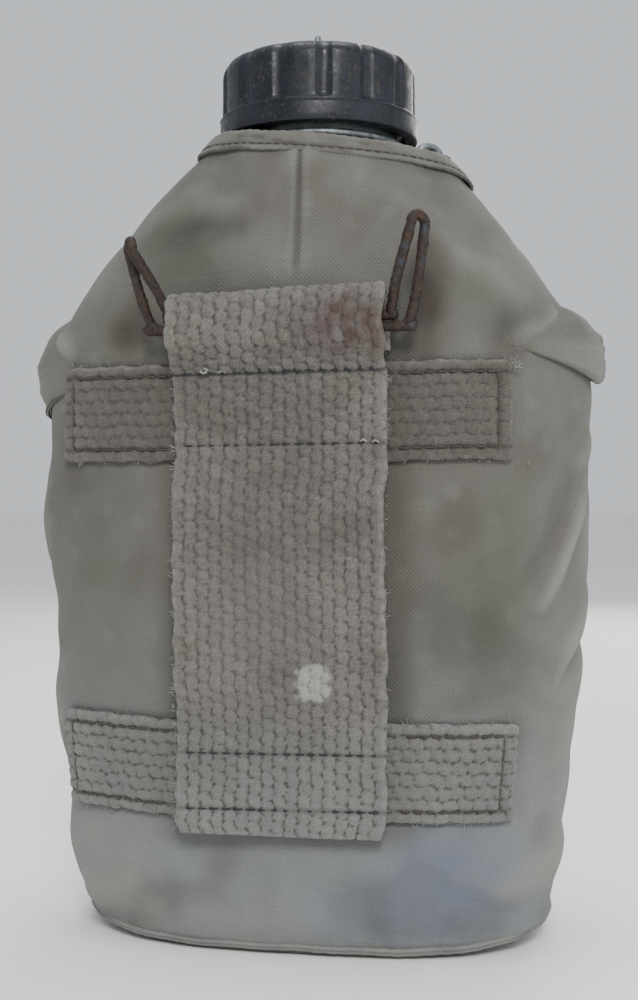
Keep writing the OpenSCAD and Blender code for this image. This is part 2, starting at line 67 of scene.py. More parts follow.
def toLinear(hexColour):
    parts = [int(hexColour[i:i + 2], 16) / 255 for i in (1, 3, 5)]
    return tuple(p / 12.92 if p <= 0.04045 else ((p + 0.055) / 1.055) ** 2.4 for p in parts)


def addNode(tree, kind, inputs=None, **settings):
    node = tree.nodes.new(kind)
    for name, value in settings.items():
        setattr(node, name, value)
    for name, value in (inputs or {}).items():
        if isinstance(value, bpy.types.NodeSocket):
            tree.links.new(value, node.inputs[name])
        elif isinstance(value, str):
            node.inputs[name].default_value = (*toLinear(value), 1)
        else:
            node.inputs[name].default_value = value
    return node


def aim(thing, place, target):
    thing.location = place
    thing.rotation_euler = (Vector(target) - Vector(place)).to_track_quat("-Z", "Y").to_euler()
    bpy.context.scene.collection.objects.link(thing)


def makeCamera():
    turn = math.radians(studio["cameraAngle"])
    data = bpy.data.cameras.new("camera")
    data.lens = studio["lens"]
    data.sensor_width = 36
    camera = bpy.data.objects.new("camera", data)
    place = Vector((math.sin(turn), -math.cos(turn), 0)) * studio["cameraDistance"]
    middle = Vector((0, 0, studio["cameraHeight"]))
    aim(camera, place + middle, middle)
    bpy.context.scene.camera = camera


def makeLight(name, place, target, size, power, colour):
    data = bpy.data.lights.new(name, "AREA")
    data.shape = "DISK"
    data.size = size
    data.energy = power
    data.color = toLinear(colour)
    aim(bpy.data.objects.new(name, data), place, target)


def makeStudio():
    size = 12  # half the floor's width in metres
    mesh = bpy.data.meshes.new("floor")
    corners = [(-size, -size, 0), (size, -size, 0), (size, size, 0), (-size, size, 0)]
    mesh.from_pydata(corners, [], [(0, 1, 2, 3)])
    floor = bpy.data.objects.new("floor", mesh)
    floor.location.z = -0.0002  # just under the base, so the two don't flicker
    bpy.context.scene.collection.objects.link(floor)
    paper = bpy.data.materials.new("matteStudioPaper")  # uncoated paper: no gloss, so the floor stays plain
    paper.use_nodes = True
    shader = paper.node_tree.nodes["Principled BSDF"]
    shader.inputs["Base Color"].default_value = (*toLinear(studio["floorColour"]), 1)
    shader.inputs["Roughness"].default_value = 1
    shader.inputs["Specular IOR Level"].default_value = 0
    mesh.materials.append(paper)
    world = bpy.data.worlds.new("studio")
    world.use_nodes = True
    sky = world.node_tree.nodes["Background"]
    sky.inputs["Color"].default_value = (*toLinear(studio["skyColour"]), 1)
    sky.inputs["Strength"].default_value = studio["skyStrength"]
    bpy.context.scene.world = world
    makeLight("keyLight", (0.22, -0.9, 0.72), (0, 0, 0.11), 0.35, 9, "#fbfaf8")
    makeLight("sideLight", (0.85, -0.35, 0.45), (0, 0, 0.11), 0.7, 1.6, "#eef3ff")
    makeLight("backLight", (0.2, 0.9, 0.6), (0, 0, 0.12), 0.8, 6, "#fff8f0")
    makeLight("topLight", (0, 0.05, 1.1), (0, 0, 0.1), 0.5, 4, "#ffffff")


makeCamera()
makeStudio()
print("camera, floor and lights are set")


# Mesh helpers, all in millimetres

def boxMm(node):
    low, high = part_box(node)
    return np.array(low) / mm, np.array(high) / mm


def makeMesh(name, points, faces, material, cloth=None, tint=None):
    mesh = bpy.data.meshes.new(name)
    mesh.vertices.add(len(points))
    mesh.vertices.foreach_set("co", (np.asarray(points, float) * mm).astype(np.float32).ravel())
    mesh.loops.add(faces.size)
    mesh.loops.foreach_set("vertex_index", faces.astype(np.int32).ravel())
    mesh.polygons.add(len(faces))
    mesh.polygons.foreach_set("loop_start", np.arange(0, faces.size, 4, dtype=np.int32))
    mesh.update(calc_edges=True)
    mesh.polygons.foreach_set("use_smooth", np.ones(len(faces), dtype=bool))
    if cloth is not None:
        layer = mesh.uv_layers.new(name="cloth")
        layer.data.foreach_set("uv", (cloth[faces.ravel()] * mm).astype(np.float32).ravel())
    if tint is not None:
        paint = mesh.attributes.new("tint", "FLOAT_COLOR", "POINT")
        paint.data.foreach_set("color", np.c_[tint, np.ones(len(tint))].astype(np.float32).ravel())
    mesh.materials.append(material)
    piece = bpy.data.objects.new(name, mesh)
    bpy.context.scene.collection.objects.link(piece)
    return piece


def gridNormal(grid):
    normal = np.cross(np.gradient(grid, axis=1), np.gradient(grid, axis=0))
    return normal / np.maximum(np.linalg.norm(normal, axis=-1, keepdims=True), 1e-9)


def sheetMesh(name, outer, inner, material, cloth, tint):  # rows run up the cloth, columns run along it
    rows, cols = outer.shape[:2]
    index = np.arange(rows * cols).reshape(rows, cols)
    under = index + rows * cols
    a, b, c, d = index[:-1, :-1], index[:-1, 1:], index[1:, 1:], index[1:, :-1]
    e, f, g, h = under[:-1, :-1], under[:-1, 1:], under[1:, 1:], under[1:, :-1]
    quads = np.concatenate([np.stack(q, -1).reshape(-1, 4) for q in (
        (a, b, c, d), (e, h, g, f),
        (b[0], a[0], e[0], f[0]), (d[-1], c[-1], g[-1], h[-1]),
        (a[:, 0], d[:, 0], h[:, 0], e[:, 0]), (c[:, -1], b[:, -1], f[:, -1], g[:, -1]))])
    points = np.concatenate([outer.reshape(-1, 3), inner.reshape(-1, 3)])
    return makeMesh(name, points, quads, material, np.concatenate([cloth.reshape(-1, 2)] * 2),
                    np.concatenate([tint.reshape(-1, 3)] * 2))


def ringFaces(rings, sides, closed):
    index = np.arange(rings * sides).reshape(rings, sides)
    low = index if closed else index[:-1]
    high = np.roll(index, -1, axis=0) if closed else index[1:]
    return np.stack([low, np.roll(low, -1, 1), np.roll(high, -1, 1), high], -1).reshape(-1, 4)


def tubeParts(path, radius, sides=8, closed=False):
    path = np.asarray(path, float)
    tangent = np.roll(path, -1, 0) - np.roll(path, 1, 0)
    if not closed:
        tangent[0], tangent[-1] = path[1] - path[0], path[-1] - path[-2]
    tangent /= np.linalg.norm(tangent, axis=1, keepdims=True)
    side = np.cross(tangent[0], (0, 0, 1) if abs(tangent[0][2]) < 0.9 else (1, 0, 0))
    frames = []
    for t in tangent:
        side = side - t * (side @ t)
        side = side / np.linalg.norm(side)
        frames.append((side, np.cross(t, side)))
    frames = np.array(frames)
    turn = np.linspace(0, 2 * math.pi, sides, endpoint=False)[None, :, None]
    radius = np.broadcast_to(np.asarray(radius, float), (len(path),))[:, None, None]
    points = path[:, None] + radius * (np.cos(turn) * frames[:, None, 0] + np.sin(turn) * frames[:, None, 1])
    faces = ringFaces(len(path), sides, closed)
    if not closed:
        cap = np.array([(k, k + 1, sides - 2 - k, sides - 1 - k) for k in range(sides // 2 - 1)])
        faces = np.concatenate([faces, cap[:, ::-1], cap + (len(path) - 1) * sides])
    return points.reshape(-1, 3), faces


def joinParts(parts):
    points, faces, start = [], [], 0
    for p, f in parts:
        points.append(p)
        faces.append(f + start)
        start += len(p)
    return np.concatenate(points), np.concatenate(faces)


def smoothPath(points, steps=8):
    points = np.asarray(points, float)
    ends = np.concatenate([[2 * points[0] - points[1]], points, [2 * points[-1] - points[-2]]])
    t = np.linspace(0, 1, steps, endpoint=False)[:, None]
    out = []
    for p0, p1, p2, p3 in zip(ends[:-3], ends[1:-2], ends[2:-1], ends[3:]):
        out.append(0.5 * (2 * p1 + (p2 - p0) * t + (2 * p0 - 5 * p1 + 4 * p2 - p3) * t ** 2
                          + (3 * p1 - p0 - 3 * p2 + p3) * t ** 3))
    return np.concatenate(out + [points[-1:]])


def lengthsOf(path):
    return np.concatenate([[0], np.cumsum(np.linalg.norm(np.diff(path, axis=0), axis=1))])


def pathAt(path, places):
    lengths = lengthsOf(path)
    return np.stack([np.interp(places, lengths, path[:, k]) for k in range(path.shape[1])], 1)


def stitchParts(path, away, pitch=3.0, length=2.2, thick=0.26, lift=0.12):
    away = np.broadcast_to(away, path.shape)
    lengths = lengthsOf(path)
    lifts = np.array([-0.9, 0.6, 1.0, 0.6, -0.9])[:, None] * thick * 0.8
    parts = []
    for start in np.arange(0.3, lengths[-1] - length, pitch):
        at = np.linspace(start, start + length, 5)
        out = np.stack([np.interp(at, lengths, away[:, k]) for k in range(3)], 1)
        parts.append(tubeParts(pathAt(path, at) + out * (lifts + lift), thick, 6))
    return parts


def ripple(a, b, wave, seed, count=9):
    draw = np.random.default_rng(seed)
    total = 0
    for _ in range(count):
        turn, phase = draw.uniform(0, 2 * math.pi), draw.uniform(0, 2 * math.pi)
        length = draw.uniform(0.7, 1.5) * wave
        total = total + np.sin((a * math.cos(turn) + b * math.sin(turn)) * 2 * math.pi / length + phase)
    return total / math.sqrt(count)


def blob(a, b, centreA, centreB, reachA, reachB):
    return np.exp(-((a - centreA) / reachA) ** 2 - ((b - centreB) / reachB) ** 2)


def step(low, high, value):
    t = np.clip((value - low) / (high - low), 0, 1)
    return t * t * (3 - 2 * t)


def flatColour(shape, colour):
    return np.broadcast_to(np.array(toLinear(colour)), (*shape, 3)).copy()


def paintOver(base, colour, amount):
    amount = np.clip(amount, 0, 1)[..., None]
    return base * (1 - amount) + np.array(toLinear(colour)) * amount


# Materials

def newMaterial(name, roughness, metallic=0.0, ior=None, specular=None):
    material = bpy.data.materials.new(name)
    material.use_nodes = True
    shader = material.node_tree.nodes["Principled BSDF"]
    shader.inputs["Roughness"].default_value = roughness
    shader.inputs["Metallic"].default_value = metallic
    if ior:
        shader.inputs["IOR"].default_value = ior
    if specular is not None:
        shader.inputs["Specular IOR Level"].default_value = specular
    return material, material.node_tree, shader


def wovenCloth(name, thread, depth, shade, fuzzAmount, sheen, roughness=0.92):
    material, tree, shader = newMaterial(name, roughness, ior=1.5, specular=0.2)
    shader.inputs["Sheen Weight"].default_value = sheen
    shader.inputs["Sheen Roughness"].default_value = 0.6
    cloth = addNode(tree, "ShaderNodeUVMap", uv_map="cloth").outputs[0]
    tint = addNode(tree, "ShaderNodeAttribute", attribute_name="tint").outputs["Color"]
    wander = addNode(tree, "ShaderNodeTexNoise", {"Vector": cloth, "Scale": 350.0, "Detail": 2.0})
    pull = addNode(tree, "ShaderNodeVectorMath", {0: wander.outputs["Color"], "Scale": thread * mm * 1.6},
                   operation="SCALE")
    moved = addNode(tree, "ShaderNodeVectorMath", {0: cloth, 1: pull.outputs[0]}, operation="ADD")
    turns = addNode(tree, "ShaderNodeVectorMath", {0: moved.outputs[0], "Scale": math.pi / (thread * mm)},
                    operation="SCALE")
    parts = addNode(tree, "ShaderNodeSeparateXYZ", {0: turns.outputs[0]})
    across = addNode(tree, "ShaderNodeMath", {0: parts.outputs[0]}, operation="SINE")
    along = addNode(tree, "ShaderNodeMath", {0: parts.outputs[1]}, operation="SINE")
    crossing = addNode(tree, "ShaderNodeMath", {0: across.outputs[0], 1: along.outputs[0]},
                       operation="MULTIPLY")
    slubs = []
    for stretch in ((1 / (thread * mm), 150.0, 1.0), (150.0, 1 / (thread * mm), 1.0)):
        place = addNode(tree, "ShaderNodeMapping", {"Vector": cloth, "Scale": stretch})
        slubs.append(addNode(tree, "ShaderNodeTexNoise",
                             {"Vector": place.outputs[0], "Scale": 1.0, "Detail": 2.0}))
    slub = addNode(tree, "ShaderNodeMath", {0: slubs[0].outputs[0], 1: slubs[1].outputs[0]}, operation="ADD")
    fuzz = addNode(tree, "ShaderNodeTexNoise",
                   {"Vector": cloth, "Scale": 2500.0, "Detail": 3.0, "Roughness": 0.7})
    height = addNode(tree, "ShaderNodeMath", {0: crossing.outputs[0], 1: 0.5, 2: slub.outputs[0]},
                     operation="MULTIPLY_ADD")
    height = addNode(tree, "ShaderNodeMath", {0: fuzz.outputs[0], 1: fuzzAmount, 2: height.outputs[0]},
                     operation="MULTIPLY_ADD")
    tone = addNode(tree, "ShaderNodeMapRange",
                   {"Value": height.outputs[0], "From Min": 0.4 + fuzzAmount * 0.3,
                    "From Max": 1.6 + fuzzAmount * 0.7, "To Min": 1 - shade, "To Max": 1 + shade})
    toned = addNode(tree, "ShaderNodeVectorMath", {0: tint, "Scale": tone.outputs[0]}, operation="SCALE")
    tree.links.new(toned.outputs[0], shader.inputs["Base Color"])
    bump = addNode(tree, "ShaderNodeBump",
                   {"Height": height.outputs[0], "Distance": depth * mm, "Strength": 0.9})
    tree.links.new(bump.outputs[0], shader.inputs["Normal"])
    return material


def grainedFinish(name, light, dark, roughness, metallic, grain, bumpDepth, ior=None, spread=0.12,
                  stretch=(1.0, 1.0, 1.0)):
    material, tree, shader = newMaterial(name, roughness, metallic, ior)
    place = addNode(tree, "ShaderNodeTexCoord").outputs["Object"]
    placed = addNode(tree, "ShaderNodeMapping", {"Vector": place, "Scale": stretch}).outputs[0]
    broad = addNode(tree, "ShaderNodeTexNoise",
                    {"Vector": placed, "Scale": 1 / (grain * mm), "Detail": 6.0, "Roughness": 0.65})
    fine = addNode(tree, "ShaderNodeTexNoise", {"Vector": placed, "Scale": 5 / (grain * mm), "Detail": 3.0})
    ramp = addNode(tree, "ShaderNodeMapRange",
                   {"Value": broad.outputs[0], "From Min": 0.36, "From Max": 0.64})
    colour = addNode(tree, "ShaderNodeMixRGB", {"Fac": ramp.outputs[0], "Color1": dark, "Color2": light})
    rough = addNode(tree, "ShaderNodeMapRange",
                    {"Value": fine.outputs[0], "From Min": 0.3, "From Max": 0.7, "To Min": roughness - spread,
                     "To Max": roughness + spread})
    bump = addNode(tree, "ShaderNodeBump",
                   {"Height": broad.outputs[0], "Distance": bumpDepth * mm, "Strength": 0.7})
    for source, socket in ((colour, "Base Color"), (rough, "Roughness"), (bump, "Normal")):
        tree.links.new(source.outputs[0], shader.inputs[socket])
    return material


def moreColour(material, colour, coverage, size, roughness):  # a second finish in patches over the first
    tree = material.node_tree
    shader = tree.nodes["Principled BSDF"]
    place = addNode(tree, "ShaderNodeTexCoord").outputs["Object"]
    patch = addNode(tree, "ShaderNodeTexNoise",
                    {"Vector": place, "Scale": 1 / (size * mm), "Detail": 8.0, "Roughness": 0.7})
    edge = addNode(tree, "ShaderNodeMapRange",
                   {"Value": patch.outputs[0], "From Min": 0.62 - coverage * 0.25,
                    "From Max": 0.70 - coverage * 0.25})
    under = shader.inputs["Base Color"].links[0].from_socket
    colour = addNode(tree, "ShaderNodeMixRGB", {"Fac": edge.outputs[0], "Color1": under, "Color2": colour})
    tree.links.new(colour.outputs[0], shader.inputs["Base Color"])
    roughUnder = shader.inputs["Roughness"].links[0].from_socket
    rough = addNode(tree, "ShaderNodeMapRange",
                    {"Value": edge.outputs[0], "To Min": roughUnder, "To Max": roughness})
    tree.links.new(rough.outputs[0], shader.inputs["Roughness"])
    return material


# Cotton duck, washed and sun-faded: no shine, a pebbled plain weave. Real thread 0.5 mm, drawn at 0.56.
fadedDuck = wovenCloth("fadedCottonDuck", 0.56, 0.12, 0.11, 0.9, 0.08)
# Cotton tape bound over the mouth: a flat even weave like the canvas, drawn at 0.55 mm
boundTape = wovenCloth("cottonBindingTape", 0.55, 0.12, 0.16, 0.8, 0.08)
# Heavy cotton webbing: fuzzy worn yarn of 0.42 mm, the ribs themselves are in the mesh
wornWebbing = wovenCloth("wornCottonWebbing", 0.42, 0.2, 0.3, 1.7, 0.12)
# Wool felt lining: matt fibres with no weave, so the thread is large and faint
greyFelt = wovenCloth("woolFelt", 1.9, 0.10, 0.10, 1.8, 0.3)
# Waxed cotton sewing thread, nearly black, with a faint twist
darkThread = grainedFinish("darkSewingThread", "#2b2c31", "#191a1e", 0.8, 0, 0.4, 0.05, 1.5)
brownThread = grainedFinish("brownSewingThread", "#4a453d", "#35312b", 0.85, 0, 0.4, 0.05, 1.5)
paleThread = grainedFinish("paleSewingThread", "#999792", "#74716b", 0.85, 0, 0.4, 0.05, 1.5)
# Steel wire left to rust: brown scale with darker and orange patches, rough to the touch
rustedWire = moreColour(grainedFinish("rustedSteelWire", "#3b2d25", "#1f1916", 0.7, 0.3, 1.1, 0.25),
                        "#4a3325", 0.2, 2.2, 0.85)
moreColour(rustedWire, "#2d3238", 0.3, 3.5, 0.5)
# Phenolic cap, moulded black: dull shine with paler handling marks and dried mud in patches
blackPhenolic = moreColour(grainedFinish("mouldedBlackPhenolic", "#171b25", "#0c0e14", 0.4, 0, 6, 0.05, 1.55),
                           "#39342c", 0.24, 1.6, 0.8)
blackPhenolic.node_tree.nodes["Principled BSDF"].inputs["Specular IOR Level"].default_value = 0.3
# Aluminium gone grey with age: soft broad reflections and fine scuffs
dullAluminium = grainedFinish("agedAluminium", "#858b8b", "#6d7474", 0.44, 0.95, 9.0, 0.05, spread=0.1)
# Galvanised steel wire, dulled: grey with lighter and darker crystals
dullSteelWire = grainedFinish("dulledGalvanisedWire", "#8d9293", "#5b6062", 0.5, 0.85, 1.6, 0.08)
blackRubber = grainedFinish("sealRubber", "#2c2b2a", "#1c1b1b", 0.75, 0, 1.5, 0.04, 1.52)
# Brass fasteners, painted dark and rubbed through in patches
darkBrass = moreColour(grainedFinish("darkenedBrass", "#3d3a33", "#26251f", 0.5, 0.7, 2.0, 0.06),
                       "#8a7344", 0.3, 1.6, 0.38)
print("materials are made")


# The cover's surface: u is degrees round the bottle (0 right, 90 front, 180 left, 270 back), z is height

cover = {
    "baseWidth": 119, "wideWidth": 143, "wideZ": 136, "shoulderWidth": 129, "shoulderZ": 160,
    "mouthWidth": 60.4, "mouthDepth": 54, "mouthZ": 202.5, "mouthTilt": 4, "shoulderBulge": 1.2,
    "backDepth": 35.5, "frontDepth": 38, "footZ": 25, "footIn": 3.5, "slopeZ": 140,
    "backRound": 3.2, "footRound": 2.5, "frontRound": 2.4, "mouthRound": 2.2, "leftPull": 3.2,
    "footLift": 5.0, "canvas": 1.2, "wallZ": 1.4, "splitZ": 151,
}


def blendTo(a, b, t):
    return a + (b - a) * np.clip(t, 0, 1)


def mouthTop(u):
    return cover["mouthZ"] - cover["mouthTilt"] * np.cos(np.radians(u))


def footLift(u):  # the soft bottom corners rise a little at both sides
    return cover["footLift"] * np.abs(np.cos(np.radians(u))) ** 5


def skin(u, z, off=0.0):
    u, z = np.broadcast_arrays(np.radians(np.asarray(u, float)), np.asarray(z, float))
    k = cover
    low = blendTo(k["baseWidth"], k["wideWidth"], np.sin(np.clip(z / k["wideZ"], 0, 1) * math.pi / 2) ** 0.85)
    fall = np.clip((z - k["wideZ"]) / (k["shoulderZ"] - k["wideZ"]), 0, 1)
    high = k["wideWidth"] + (k["shoulderWidth"] - k["wideWidth"]) * fall ** 2.4
    rise = np.maximum((z - k["shoulderZ"]) / (k["mouthZ"] + k["mouthTilt"] - k["shoulderZ"]), 0)
    top = k["shoulderWidth"] + (k["mouthWidth"] - k["shoulderWidth"]) * rise
    half = np.where(z <= k["wideZ"], low, np.where(z <= k["shoulderZ"], high, top)) / 2
    half = half + np.where(z > k["shoulderZ"], k["shoulderBulge"] * 4 * rise * (1 - rise), 0)
    half = half - k["leftPull"] * np.clip(rise, 0, 1) ** 1.6 * np.clip(-np.cos(u), 0, 1) ** 2
    isBack = np.sin(u) < 0
    full = np.where(isBack, k["backDepth"], k["frontDepth"])
    foot = k["footIn"] * (1 - np.sin(np.clip(z / k["footZ"], 0, 1) * math.pi / 2))
    slope = np.maximum((z - k["slopeZ"]) / (k["mouthZ"] - k["slopeZ"]), 0)
    deep = full - foot - (full - k["mouthDepth"] / 2) * slope ** 2.2
    backRound = blendTo(k["footRound"], k["backRound"], np.sin(np.clip(z / 26, 0, 1) * math.pi / 2))
    n = blendTo(np.where(isBack, backRound, k["frontRound"]), k["mouthRound"],
                (z - k["shoulderZ"]) / (k["mouthZ"] - k["shoulderZ"]))
    c, s = np.cos(u), np.sin(u)
    size = (np.abs(c) ** n + np.abs(s) ** n) ** (-1 / n)
    return np.stack([(half + off) * size * c, (deep + off) * size * s, z + 0 * size], -1)


def arcTo(w, z):  # distance in mm along the cloth from the middle of the back
    line = skin(270 + np.linspace(0, w, 80), z)
    return math.copysign(lengthsOf(line)[-1], w)


def clothOf(grid, middleCol):  # flat coordinates of a grid on the cover, in mm
    along = np.cumsum(np.linalg.norm(np.diff(grid, axis=1, prepend=grid[:, :1]), axis=-1), axis=1)
    along = along - along[:, middleCol:middleCol + 1]
    spine = grid[:, middleCol]
    up = np.interp(grid[..., 2], spine[:, 2], lengthsOf(spine))
    return np.stack([along, up], -1)


def creaseOn(a, z, points, width, height, sharp=2.0):  # a fold line through points given as (degrees, height)
    line = smoothPath([(arcTo(w, h), h) for w, h in points], 10)
    lengths = lengthsOf(line)
    best, where = np.full(a.shape, 1e9), np.zeros(a.shape)
    for i in range(len(line) - 1):
        p, d = line[i], line[i + 1] - line[i]
        t = np.clip(((a - p[0]) * d[0] + (z - p[1]) * d[1]) / (d @ d), 0, 1)
        gap = np.hypot(a - p[0] - t * d[0], z - p[1] - t * d[1])
        closer = gap < best
        reached = lengths[i] + t * (lengths[i + 1] - lengths[i])
        best, where = np.where(closer, gap, best), np.where(closer, reached, where)
    share = where / lengths[-1]
    return height * np.exp(-(best / width) ** sharp) * np.clip(np.sin(math.pi * share), 0.0, 1) ** 0.6


def declareCloth(grid):
    tall = max(lengthsOf(line)[-1] for line in grid.transpose(1, 0, 2)[::max(1, grid.shape[1] // 12)]) * mm


def fit(piece, body, slot, *nodes):
    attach(piece, body)
    if nodes:
        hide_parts(*nodes)
    return piece


upperStrap, lowerStrap, belt = boxMm("upper_cross_strap"), boxMm("lower_cross_strap"), boxMm("belt_webbing")

canvasLook = {
    # lower is painted light: a paler bluish grey laid on towards the bottom
    "cloth": "#5a5852", "sunFaded": "#67655f", "lower": "#787b7d", "soil": "#46433c", "green": "#4a4d44",
    # blue is painted light: a bluish grey for bright patches low down
    "dark": "#33312d", "paintedBlueLight": "#636877", "worn": "#7f7d76", "rust": "#3d2e25",
}


def paintCanvas(a, z, seed=0):
    look = canvasLook
    tint = flatColour(a.shape, look["cloth"])
    tint = paintOver(tint, look["sunFaded"], 0.35 + 0.3 * ripple(a, z, 60, 11 + seed))
    # painted light: the cloth is painted paler and bluer towards the bottom, where the light comes from below
    tint = paintOver(tint, look["lower"], 0.85 * step(95, 5, z))
    tint = paintOver(tint, look["green"], 0.30 * step(0.2, 1.6, ripple(a, z, 42, 12 + seed)))
    tint = paintOver(tint, look["soil"], 0.42 * step(0.0, 1.8, ripple(a, z * 0.5, 16, 13 + seed)))
    tint = paintOver(tint, look["worn"], 0.16 * step(0.6, 2.0, ripple(a, z, 9, 14 + seed)))
    return tint


# Canvas back: one panel wrapped round both sides and up to the mouth

backPanel = {
    "rows": 196, "cols": 231, "sideSeam": 10, "shoulderSeam": 38,
    "waveHeight": 0.7, "puckerHeight": 0.16,
    "folds": [  # (degrees, height) points, width, height in mm
        ([(65, 117), (55, 101), (47, 83)], 2.1, 2.2), ([(74, 91), (59, 76), (52, 61)], 2.0, 1.7),
        ([(40, 149), (50, 153), (60, 157.5)], 2.6, 1.5), ([(-46, 147), (-55, 152), (-62, 156)], 2.6, 1.2),
        ([(60, 121), (49, 99), (44, 88)], 5.0, -1.2), ([(80, 74), (66, 60), (57, 45)], 4.5, 1.0),
        ([(-36, 174), (-26, 177.5), (-14, 179)], 3.0, -1.1), ([(-37, 181), (-25, 184), (-12, 184)], 4.2, 0.9),
        ([(-74, 70), (-62, 58), (-56, 44)], 4.5, 0.9), ([(70, 130), (63, 122), (56, 118)], 3.6, 1.3),
        ([(-76, 122), (-66, 110), (-62, 96)], 4.5, 1.1), ([(-30, 20), (-44, 13), (-60, 9)], 5.5, 1.5),
        ([(30, 14), (50, 19), (68, 30)], 5.5, 1.5), ([(-6, 9), (-22, 13), (-38, 10)], 4.0, -0.7),
        ([(22, 22), (38, 15), (52, 11)], 4.0, -0.9), ([(34, 176), (42, 166), (48, 158)], 4.5, 1.0),
        ([(24, 190), (33, 182), (38, 172)], 3.5, 0.7), ([(-30, 192), (-40, 184), (-48, 172)], 4.0, 0.8),
        ([(56, 40), (64, 28), (66, 12)], 4.0, 1.0), ([(-60, 34), (-66, 22), (-68, 10)], 4.0, 1.0),
    ],
    "dart": (0.4, 197.5, 165.0, 0.8),  # mm across, top, bottom, depth
    "stainsAndPaintedLight": [  # degrees, height, reach across and up in mm, colour, strength
        (37, 162.5, 10, 8, "green", 0.35), (44, 154, 10, 6, "dark", 0.4), (-39, 182.5, 9, 12, "green", 0.5),
        (-30, 172, 13, 9, "green", 0.4), (-26, 180, 10, 4, "dark", 0.35), (-34, 176, 8, 3, "dark", 0.35),
        (30, 172, 7, 12, "soil", 0.5), (27, 157, 5, 13, "dark", 0.75), (28, 160, 3.5, 10, "rust", 0.4),
        (-34, 153, 8, 9, "soil", 0.7), (-33, 156, 4, 8, "rust", 0.35), (-56, 118, 10, 14, "soil", 0.35),
        # the two bluish patches low on the right are painted light from below
        (32.5, 20.5, 14, 13, "paintedBlueLight", 0.75), (20, 9, 22, 7, "paintedBlueLight", 0.35), (-52, 22, 16, 16, "worn", 0.45),
        (-20, 9, 30, 6, "worn", 0.4), (40, 95, 9, 26, "green", 0.4), (-40, 88, 9, 30, "green", 0.25),
        (62, 60, 12, 30, "worn", 0.3), (-70, 110, 9, 40, "worn", 0.15), (4, 188, 14, 9, "soil", 0.35),
    ],
}


def evenAngles(count, reach, z=110):  # angles from the middle of the back, spaced evenly along the cloth
    w = np.linspace(-reach, reach, 721)
    place = lengthsOf(skin(270 + w, z))
    return np.interp(np.linspace(0, place[-1], count), place, w)


def backGrid(rows, cols, low, drop):
    spread = evenAngles(cols, 100)
    t = np.linspace(0, 1, rows)[:, None]
    rough = low + t * (cover["mouthZ"] - low)
    edge = blendTo(backPanel["sideSeam"], backPanel["shoulderSeam"], (rough - cover["splitZ"]) / 8)
    w = spread * (90 + edge) / 100
    u = 270 + w
    top, foot = mouthTop(u) - drop, low + footLift(u)
    z = foot + t * (top - foot)
    return u, w, z


def backFolds(a, z):
    look = backPanel
    push = look["waveHeight"] * ripple(a, z, 46, 21) + 0.22 * ripple(a, z, 17, 22)
    for points, width, height in look["folds"]:
        push = push + 1.5 * creaseOn(a, z, points, width, height)
    across, top, low, depth = look["dart"]
    seam = np.abs(a - across)
    along = step(low - 2, low + 8, z) * step(top + 6, top - 3, z)
    push = push + along * (0.55 * np.exp(-((seam - 1.6) / 1.3) ** 2) - depth * np.exp(-(seam / 0.7) ** 2))
    push = push + look["puckerHeight"] * along * np.sin(z * 2.4) * np.exp(-((seam - 2.2) / 1.6) ** 2)
    return push


def strapShare(a, z, box, spare=3.0, soft=3.0):  # 1 under a cross strap
    left, right = box[0][0] - spare, box[1][0] + spare
    return step(box[0][2] - soft, box[0][2], z) * step(box[1][2] + soft, box[1][2], z) \
        * step(left - soft, left, a) * step(right + soft, right, a)


def makeBackPanel():
    u, w, z = backGrid(backPanel["rows"], backPanel["cols"], cover["wallZ"], 0)
    middle = backPanel["cols"] // 2
    base = skin(u, z)
    cloth = clothOf(base, middle)
    a = cloth[..., 0]
    push = backFolds(a, z)
    pressed = np.maximum(strapShare(a, z, upperStrap), strapShare(a, z, lowerStrap))
    inBelt = step(-32, -28, a) * step(27, 23, a) * step(26, 30, z) * step(158, 150, z)
    push = push * (1 - 0.9 * pressed) * (1 - 0.7 * inBelt)
    hem = step(0, 7, z - cover["wallZ"] - footLift(u)) * step(0.2, 7, mouthTop(u) - z)
    sides = step(99, 84, np.abs(w)) * 0.85 + 0.15
    push = np.clip(push * (0.25 + 0.75 * hem) * sides, -0.85, 3.6)
    for box in (upperStrap, lowerStrap):  # the cloth is drawn up beside the straps
        rim = strapShare(a, z, box, 4, 5.0) - strapShare(a, z, box, 3, 1.0)
        push = push + 0.25 * np.clip(rim, 0, 1) * (1 + 0.6 * np.sin(a * 0.9))
    normal = gridNormal(base)
    outer = base + normal * push[..., None]
    inner = skin(u, z, -cover["canvas"]) + normal * np.minimum(push, 2.4)[..., None] * 0.9
    look = canvasLook
    tint = paintCanvas(a, z)
    crest = np.clip(push - 0.5, 0, 3)
    tint = paintOver(tint, look["worn"], 0.34 * crest)
    # painted shade: the cloth is darkened in the hollows of the folds
    tint = paintOver(tint, look["dark"], 0.35 * np.clip(-push - 0.15, 0, 1))
    # stains, and the bluish patches of painted light
    for wAt, zAt, reachA, reachZ, colour, amount in backPanel["stainsAndPaintedLight"]:
        ragged = 1 + 0.35 * ripple(a, z, 12, int(abs(wAt) * 3 + zAt))
        stain = blob(a, z, arcTo(wAt, zAt), zAt, reachA, reachZ)
        tint = paintOver(tint, look[colour], amount * stain * ragged)
    beltShade = step(-38, -29, a) * step(34, 25, a) * step(24, 32, z) * step(166, 150, z)
    tint = paintOver(tint, look["soil"], 0.45 * beltShade)
    across, _, low, _ = backPanel["dart"]
    dartLine = np.exp(-((a - across) / 0.6) ** 2) * step(low - 2, low + 6, z)
    tint = paintOver(tint, look["dark"], 0.6 * dartLine)
    tint = paintOver(tint, look["worn"], 0.5 * step(7, 2, z) * (0.6 + 0.4 * ripple(a, z, 6, 31)))
    piece = sheetMesh("canvasBack", outer, inner, fadedDuck, cloth, tint)
    fit(piece, "root", "canvas", "back_panel")
    declareCloth(base)


makeBackPanel()
print("canvas back is made")


# Canvas front, base, welt and felt lining

